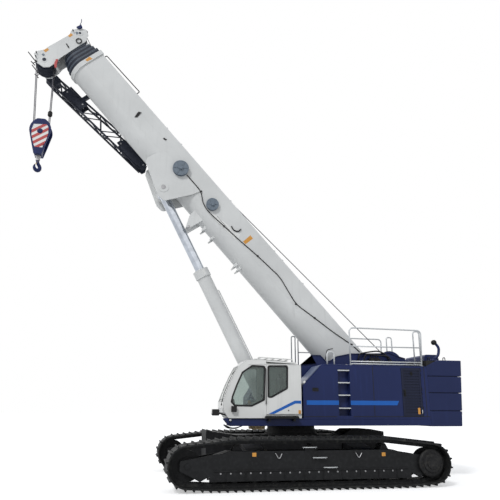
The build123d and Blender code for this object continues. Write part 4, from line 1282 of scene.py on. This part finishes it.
# Hook: rope falls, block, hook and the weight on the fall
BLOCK_LOW, BLOCK_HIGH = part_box("hook_block")
BLOCK_X = (BLOCK_LOW.x + BLOCK_HIGH.x) / 2
BLOCK_Z = (9.37, 10.56)
PULLEY_Z, PULLEY_RADIUS = 10.13, 0.235
ROPE_SEAT = -0.017
HOOK_CHEEK_Y = (0.15, 0.18)
PANEL_FACE, BAND_FACE = 0.183, 0.186


def make_hook():
    """Rope falls, hook block with its warning bands, and the hook."""
    x, (low, high) = BLOCK_X, BLOCK_Z
    top = so(*SHEAVE)

    def falls(bm):
        for side in (-1, 1):
            for y in (-0.10, 0.10):
                a = Vector((top.x + side * (SHEAVE_RADIUS + ROPE_SEAT), y, top.z))
                b = Vector((x + side * (PULLEY_RADIUS + ROPE_SEAT), y, PULLEY_Z))
                add_tube(bm, [a.lerp(b, i / 12) for i in range(13)], 0.013, 8)
        add_tube(bm, [Vector((7.72, 0.0, 12.0)).lerp(Vector((7.69, 0.0, 10.90)), i / 10)
                      for i in range(11)], 0.007, 6)
    piece("hook_ropes", "hook", "rope_steel", falls, smooth=True, replaces=("rope_falls",))

    cheek = [(x - 0.118, low)] + arc((x - 0.118, low), (x - 0.245, PULLEY_Z - 0.29), (x - 0.318, PULLEY_Z),
                                     5)
    cheek += arc((x - 0.318, PULLEY_Z), (x - 0.285, PULLEY_Z + 0.235), (x - 0.11, high), 6)
    cheek += [(2 * x - px, pz) for px, pz in reversed(cheek)]

    def block(bm):
        for side in (-1, 1):
            slab(bm, cheek, side * HOOK_CHEEK_Y[0], side * HOOK_CHEEK_Y[1])
            add_disc(bm, (x + side * 0.08, -0.17, high - 0.05), (0, 1, 0), 0.34, 0.022, 14)
        slab(bm, ((x - 0.11, low), (x + 0.11, low), (x + 0.15, low + 0.33), (x - 0.15, low + 0.33)), -0.151,
             0.151)
        add_lathe(bm, (x, 0, PULLEY_Z), (0, 1, 0),
                  sheave_rows((-0.10, 0, 0.10), PULLEY_RADIUS, 0.055, 0.205), 36)
        for side in (-1, 1):
            add_lathe(bm, (x, side * HOOK_CHEEK_Y[1], PULLEY_Z), (0, side, 0),
                      ((0, 0.085), (0.012, 0.085), (0.016, 0.06)), 24)
    piece("hook_block_cheeks", "hook", "navy_paint", block, bevel=0.004, replaces=("hook_block",))

    panel = [(x + 0.20, PULLEY_Z + 0.22), (x + 0.245, PULLEY_Z + 0.05), (x + 0.235, PULLEY_Z - 0.15),
             (x + 0.15, PULLEY_Z - 0.45), (x + 0.10, PULLEY_Z - 0.55), (x - 0.12, PULLEY_Z - 0.55),
             (x - 0.20, PULLEY_Z - 0.33), (x - 0.25, PULLEY_Z - 0.07), (x - 0.24, PULLEY_Z + 0.14),
             (x - 0.18, PULLEY_Z + 0.24)]

    def panels(bm):
        both_slabs(bm, panel, HOOK_CHEEK_Y[1], PANEL_FACE)
    piece("hook_panels", "hook", "white_paint", panels)

    def bands(bm):
        for index in range(4):
            z = PULLEY_Z - 0.78 + 0.215 * index
            band = [(x + 0.30, z), (x + 0.30, z + 0.11), (x - 0.30, z + 0.54), (x - 0.30, z + 0.43)]
            cut = clipped(band, panel)
            both_slabs(bm, cut, PANEL_FACE, BAND_FACE)
    piece("hook_bands", "hook", "white_paint", bands, RED_BAND)

    def knob(bm):
        for side in (-1, 1):
            add_lathe(bm, (x - 0.12, side * BAND_FACE, PULLEY_Z - 0.45), (0, side, 0),
                      ((0, 0.035), (0.02, 0.035), (0.03, 0.02)), 18)
    piece("hook_knobs", "hook", "white_paint", knob, RED_BAND, smooth=True)

    def sleeve(bm):
        add_lathe(bm, (x, 0, low), (0, 0, -1),
                  ((0, 0.085), (0.03, 0.085), (0.04, 0.064), (0.16, 0.064), (0.17, 0.056)), 28)
    piece("hook_sleeve", "hook", "bare_steel", sleeve, smooth=False)

    turn = math.radians(46)
    bowl = low - 0.40

    def across(px, pz, out=0.0):
        return Vector((x + px * math.cos(turn) - out * math.sin(turn),
                       px * math.sin(turn) + out * math.cos(turn), pz))

    def hook(bm):
        rows = [(0.0, low - 0.0005, 0.05), (0.0, low - 0.16, 0.05), (-0.005, low - 0.22, 0.05),
                (-0.03, bowl + 0.13, 0.052)]
        for degrees, radius in ((135, 0.054), (155, 0.056), (180, 0.058), (205, 0.060), (230, 0.061),
                                (255, 0.061), (280, 0.059), (305, 0.055), (330, 0.049), (350, 0.042),
                                (10, 0.033), (28, 0.022)):
            a = math.radians(degrees)
            rows.append((0.10 * math.cos(a), bowl + 0.018 + 0.10 * math.sin(a), radius))
        rows.append((0.10, bowl + 0.09, 0.012))
        add_tube(bm, [across(px, pz) for px, pz, _ in rows], [r for _, _, r in rows], 16)
    piece("hook_body", "hook", "navy_paint", hook, smooth=True, replaces=("hook",))

    def latch(bm):
        add_tube(bm, (across(-0.01, low - 0.19, 0.03), across(0.085, bowl + 0.075, 0.012)), 0.009, 8)
        add_tube(bm, (across(-0.01, low - 0.19, -0.03), across(0.085, bowl + 0.075, -0.012)), 0.009, 8)
        add_tube(bm, (across(-0.01, low - 0.19, 0.055), across(-0.01, low - 0.19, -0.055)), 0.012, 10)
    piece("hook_latch", "hook", "bare_steel", latch, BRASS, smooth=True)

    def weight(bm):
        share = (10.77 - PULLEY_Z) / (top.z - PULLEY_Z)
        place_x = (x - PULLEY_RADIUS) + share * (top.x - SHEAVE_RADIUS - x + PULLEY_RADIUS)
        rows = ((0, 0.03), (0, 0.055), (0.03, 0.07), (0.13, 0.07), (0.16, 0.055), (0.16, 0.03))
        add_lathe(bm, (place_x, 0.10, 10.70), (0, 0, 1), rows, 24)
        add_tube(bm, (Vector((place_x, 0.06, 10.84)), Vector((7.69, 0.0, 10.92))), 0.010, 8)
    piece("hook_limit_weight", "hook", "cast_iron", weight, smooth=False)


def clipped(polygon, window):
    """The part of a 2-D polygon inside a convex window whose corners run clockwise."""
    for a, b in zip(window, window[1:] + window[:1]):
        out = []
        for p, q in zip(polygon, polygon[1:] + polygon[:1]):
            one = (b[0] - a[0]) * (p[1] - a[1]) - (b[1] - a[1]) * (p[0] - a[0])
            two = (b[0] - a[0]) * (q[1] - a[1]) - (b[1] - a[1]) * (q[0] - a[0])
            if one <= 0:
                out.append(p)
            if one * two < 0:
                share = one / (one - two)
                out.append((p[0] + (q[0] - p[0]) * share, p[1] + (q[1] - p[1]) * share))
        polygon = out
    return polygon


# Stowed jib on the right side: a lattice tapering to its tip
JIB_Y, JIB_HALF = -0.76, 0.16
JIB_S = (10.30, 14.35)
JIB_LOW, JIB_HIGH = (BELLY - 0.12, BELLY - 0.51), (BELLY + 0.39, BELLY - 0.21)


def jib_point(share, level, side):
    low = JIB_LOW[0] + share * (JIB_LOW[1] - JIB_LOW[0])
    high = JIB_HIGH[0] + share * (JIB_HIGH[1] - JIB_HIGH[0])
    return so(JIB_S[0] + share * (JIB_S[1] - JIB_S[0]), low + level * (high - low), JIB_Y + side * JIB_HALF)


def make_jib():
    """The stowed jib's chords, lacing, plates and pins."""
    def lattice(bm):
        for level in (0, 1):
            for side in (-1, 1):
                add_tube(bm, (jib_point(0, level, side), jib_point(1, level, side)), 0.034, 12)
        for index in range(9):
            here, there, first = index / 9, (index + 1) / 9, index % 2
            for side in (-1, 1):
                add_tube(bm, (jib_point(here, first, side), jib_point(there, 1 - first, side)), 0.019, 10)
            for level in (0, 1):
                add_tube(bm, (jib_point(here, level, -1 + 2 * first),
                              jib_point(there, level, 1 - 2 * first)), 0.019, 10)
    # The near-black slate paint on the lattice is painted shade, for the jib lies in shade beside the boom
    piece("jib_lattice", "boom", "slate_paint", lattice, smooth=True, replaces=("stowed_jib",))

    def plates(bm):
        for side in (-1, 1):
            y = JIB_Y + side * JIB_HALF
            for outline in (((10.18, 2.899), (10.20, 2.769), (10.79, 2.699), (11.46, 2.739), (11.46, 2.919),
                             (11.09, 3.059), (10.32, 3.089)),
                            ((13.10, 2.539), (13.95, 2.404), (13.95, 2.809), (13.10, 2.859)),
                            ((14.28, 2.339), (14.70, 2.324), (14.85, 2.439), (14.85, 2.559), (14.65, 2.679),
                             (14.28, 2.699))):
                boom_slab(bm, outline, y - 0.008, y + 0.008)
        for s in (10.70, 13.30):
            high = 3.259 if s < 12 else 2.83
            boom_slab(bm, rect(s - 0.06, high - 0.04, s + 0.06, SPRING + 0.11),
                      JIB_Y + JIB_HALF - 0.005, -BOOM_HALF)
    # The near-black slate paint on the plates is painted shade as well
    piece("jib_plates", "boom", "slate_paint", plates, bevel=0.002)

    def pins(bm):
        add_disc(bm, so(14.73, 2.479, JIB_Y - 0.18), (0, 1, 0), 0.36, 0.045, 20)
        for s, o in ((10.32, 2.92), (11.35, 2.82), (13.2, 2.70), (13.85, 2.58)):
            add_disc(bm, so(s, o, JIB_Y - 0.185), (0, 1, 0), 0.37, 0.026, 14)
    piece("jib_pins", "boom", "bare_steel", pins)


# Lift cylinder: the barrel on its line from the base pin to the eye
LIFT_BASE = Vector((0.75, 0, 2.0))
BARREL = 4.5


def make_lift_barrel():
    """The lift cylinder's barrel with its gland and pipe."""
    along = (so(*EYE) - LIFT_BASE).normalized()
    up = Vector((-along.z, 0, along.x))

    def barrel(bm):
        add_lathe(bm, LIFT_BASE, along,
                  ((0.15, 0.15), (0.17, 0.215), (0.38, 0.215), (0.385, 0.233), (0.465, 0.233),
                   (0.47, 0.215), (BARREL - 0.26, 0.215), (BARREL - 0.255, 0.243), (BARREL - 0.006, 0.243),
                   (BARREL, 0.237), (BARREL, 0.147), (BARREL - 0.24, 0.147), (BARREL - 0.24, 0.183),
                   (0.34, 0.183)), 48)
        add_lathe(bm, LIFT_BASE - Vector((0, 0.221, 0)), (0, 1, 0),
                  ((0, 0.18), (0.01, 0.19), (0.432, 0.19), (0.442, 0.18)), 36)
        pipe = [LIFT_BASE + along * d + up * h
                for d, h in ((0.52, 0.20), (0.52, 0.249), (BARREL - 0.8, 0.249), (BARREL - 0.8, 0.20))]
        add_tube(bm, bend_path(pipe, 0.03), 0.018, 10)
    piece("lift_barrel_tube", "lift_barrel", "slate_paint", barrel, MATERIALS["boom_paint"],
          replaces=("lift_barrel",))

    def bolts(bm):
        centre = LIFT_BASE + along * BARREL
        across = Vector((0, 1, 0))
        places = [centre + (across * math.cos(a) + up * math.sin(a)) * 0.195 for a in
                  (2 * math.pi * i / 12 for i in range(12))]
        add_bolts(bm, places, along, 0.014, 0.014)
    piece("gland_bolts", "lift_barrel", "bare_steel", bolts)

    def label(bm):
        near, far = BARREL - 0.21, BARREL - 0.05
        strip = [(0.2437 * math.cos(a), 0.2437 * math.sin(a)) for a in (0.02, 0.10, 0.18, 0.26, 0.34)]
        for (c0, u0), (c1, u1) in zip(strip, strip[1:]):
            corners = [LIFT_BASE + along * d + Vector((0, c, 0)) + up * u for d, c, u in (
                (near, c0, u0), (far, c0, u0), (far, c1, u1), (near, c1, u1))]
            add_prism(bm, corners, (0, 0.0015, 0))
    piece("gland_blank", "lift_barrel", "white_paint", label)


def make_section_rings():
    """Two paler blue-grey rings round the front edge of each inner section."""
    for body in SECTION_BODIES[1:]:
        section = frame["nodes"]["boom_" + body]
        rows = []
        for vertex in section.data.vertices:
            place = section.matrix_world @ vertex.co
            rows.append((place.x * math.cos(BOOM_ANGLE) + place.z * math.sin(BOOM_ANGLE), place.y,
                         place.z * math.cos(BOOM_ANGLE) - place.x * math.sin(BOOM_ANGLE)))
        end = max(row[0] for row in rows)
        edge = [row[1:] for row in rows if row[0] > end - 0.01]
        hull = [edge[index] for index in convex_hull_2d(edge)]

        def ring(bm):
            outer, inner = offset(hull, 0.002), offset(hull, -0.006)
            for start in (end - 0.045, end - 0.014):
                add_frame(bm, [so(start, o, y) for y, o in outer], [so(start, o, y) for y, o in inner],
                          so(start + 0.010, 0) - so(start, 0))
        piece(body + "_rings", body, "slate_paint", ring, MATERIALS["reel_paint"])


make_boom_fittings()
make_section_rings()
make_reels()
make_head()
make_hook()
make_jib()
make_lift_barrel()


# Hoist rope: from the winch to the boom, and along the boom's back on every section
def make_hoist_rope():
    winch = Vector((-3.0, 0.1, 3.575))
    landing = so(8.0, BOOM_TOP + 0.07, 0.1)
    mesh = new_mesh("hoist_rope_lead",
                    lambda bm: add_tube(bm, [winch.lerp(landing, i / 40) for i in range(41)], 0.013))
    lead = finish_piece("hoist_rope_lead", mesh, None, MATERIALS["rope_steel"], True)
    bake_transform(lead)
    for index, body in enumerate(SECTION_BODIES):
        start = 5.2 if index else 8.0
        run = [so(start + (14.0 - start) * i / 6, BOOM_TOP + 0.07, 0.1) for i in range(7)]
        piece("hoist_rope_" + str(index + 1), body, "rope_steel",
              lambda bm: add_tube(bm, run, 0.013 - 0.0002 * index), smooth=True)


make_hoist_rope()


# Stage: a pale floor, a white surround, soft light and the photograph's camera
FLOOR_GLOW = 0.42


def make_stage():
    bpy.ops.mesh.primitive_plane_add(size=400, location=(0, 0, 0))
    floor = bpy.context.object
    floor.name = "floor"
    n = Nodes("floor_white")
    n.colour(n.ramp(n.noise(0.5), (0.3, (0.83, 0.83, 0.83)), (0.7, (0.85, 0.85, 0.85))))
    n.shader.inputs["Roughness"].default_value = 0.9
    n.shader.inputs["Emission Color"].default_value = (1, 1, 1, 1)
    seen = n.tree.nodes.new("ShaderNodeLightPath").outputs["Is Camera Ray"]
    glow = n.tree.nodes.new("ShaderNodeMath")
    glow.operation = "MULTIPLY"
    glow.inputs[1].default_value = FLOOR_GLOW
    n.link(seen, glow.inputs[0])
    n.link(glow.outputs["Value"], n.shader.inputs["Emission Strength"])
    floor.data.materials.append(n.material)


def make_world():
    world = bpy.data.worlds.new("studio")
    bpy.context.scene.world = world
    world.use_nodes = True
    tree = world.node_tree
    background = tree.nodes["Background"]
    background.inputs["Color"].default_value = (0.93, 0.96, 1.0, 1)
    background.inputs["Strength"].default_value = 0.55
    seen = tree.nodes.new("ShaderNodeBackground")
    seen.inputs["Color"].default_value = (1, 1, 1, 1)
    seen.inputs["Strength"].default_value = 1.0
    path = tree.nodes.new("ShaderNodeLightPath")
    seen_by = path.outputs["Is Camera Ray"]
    for ray in ("Is Transmission Ray", "Is Glossy Ray"):
        larger = tree.nodes.new("ShaderNodeMath")
        larger.operation = "MAXIMUM"
        tree.links.new(seen_by, larger.inputs[0])
        tree.links.new(path.outputs[ray], larger.inputs[1])
        seen_by = larger.outputs["Value"]
    mix = tree.nodes.new("ShaderNodeMixShader")
    tree.links.new(seen_by, mix.inputs["Fac"])
    tree.links.new(background.outputs["Background"], mix.inputs[1])
    tree.links.new(seen.outputs["Background"], mix.inputs[2])
    tree.links.new(mix.outputs["Shader"], tree.nodes["World Output"].inputs["Surface"])


def make_sun(name, direction, strength, spread):
    light = bpy.data.lights.new(name, "SUN")
    light.energy = strength
    light.angle = math.radians(spread)
    lamp = bpy.data.objects.new(name, light)
    lamp.rotation_euler = Vector(direction).to_track_quat("-Z", "Y").to_euler()
    bpy.context.scene.collection.objects.link(lamp)


def make_camera():
    a, p, r = CAMERA_TURN, CAMERA_PITCH, CAMERA_ROLL
    ahead = Vector((-math.sin(a) * math.cos(p), -math.cos(a) * math.cos(p), math.sin(p)))
    right = Vector((-math.cos(a), math.sin(a), 0))
    up = right.cross(ahead)
    right, up = right * math.cos(r) + up * math.sin(r), up * math.cos(r) - right * math.sin(r)
    data = bpy.data.cameras.new("photograph")
    data.sensor_width = SENSOR
    data.lens = FOCAL_PIXELS * SENSOR / FRAME_PIXELS
    data.clip_end = 500
    camera = bpy.data.objects.new("photograph", data)
    turn = Matrix((right, up, -ahead)).transposed()
    camera.matrix_world = Matrix.Translation(CAMERA_PLACE) @ turn.to_4x4()
    bpy.context.scene.collection.objects.link(camera)
    bpy.context.scene.camera = camera


make_stage()
make_world()
make_sun("key", (-0.45, -0.62, -0.64), 1.5, 12)
make_sun("fill", (-0.9, 0.25, -0.35), 0.35, 40)
make_camera()
bpy.context.scene.view_settings.view_transform = "Standard"
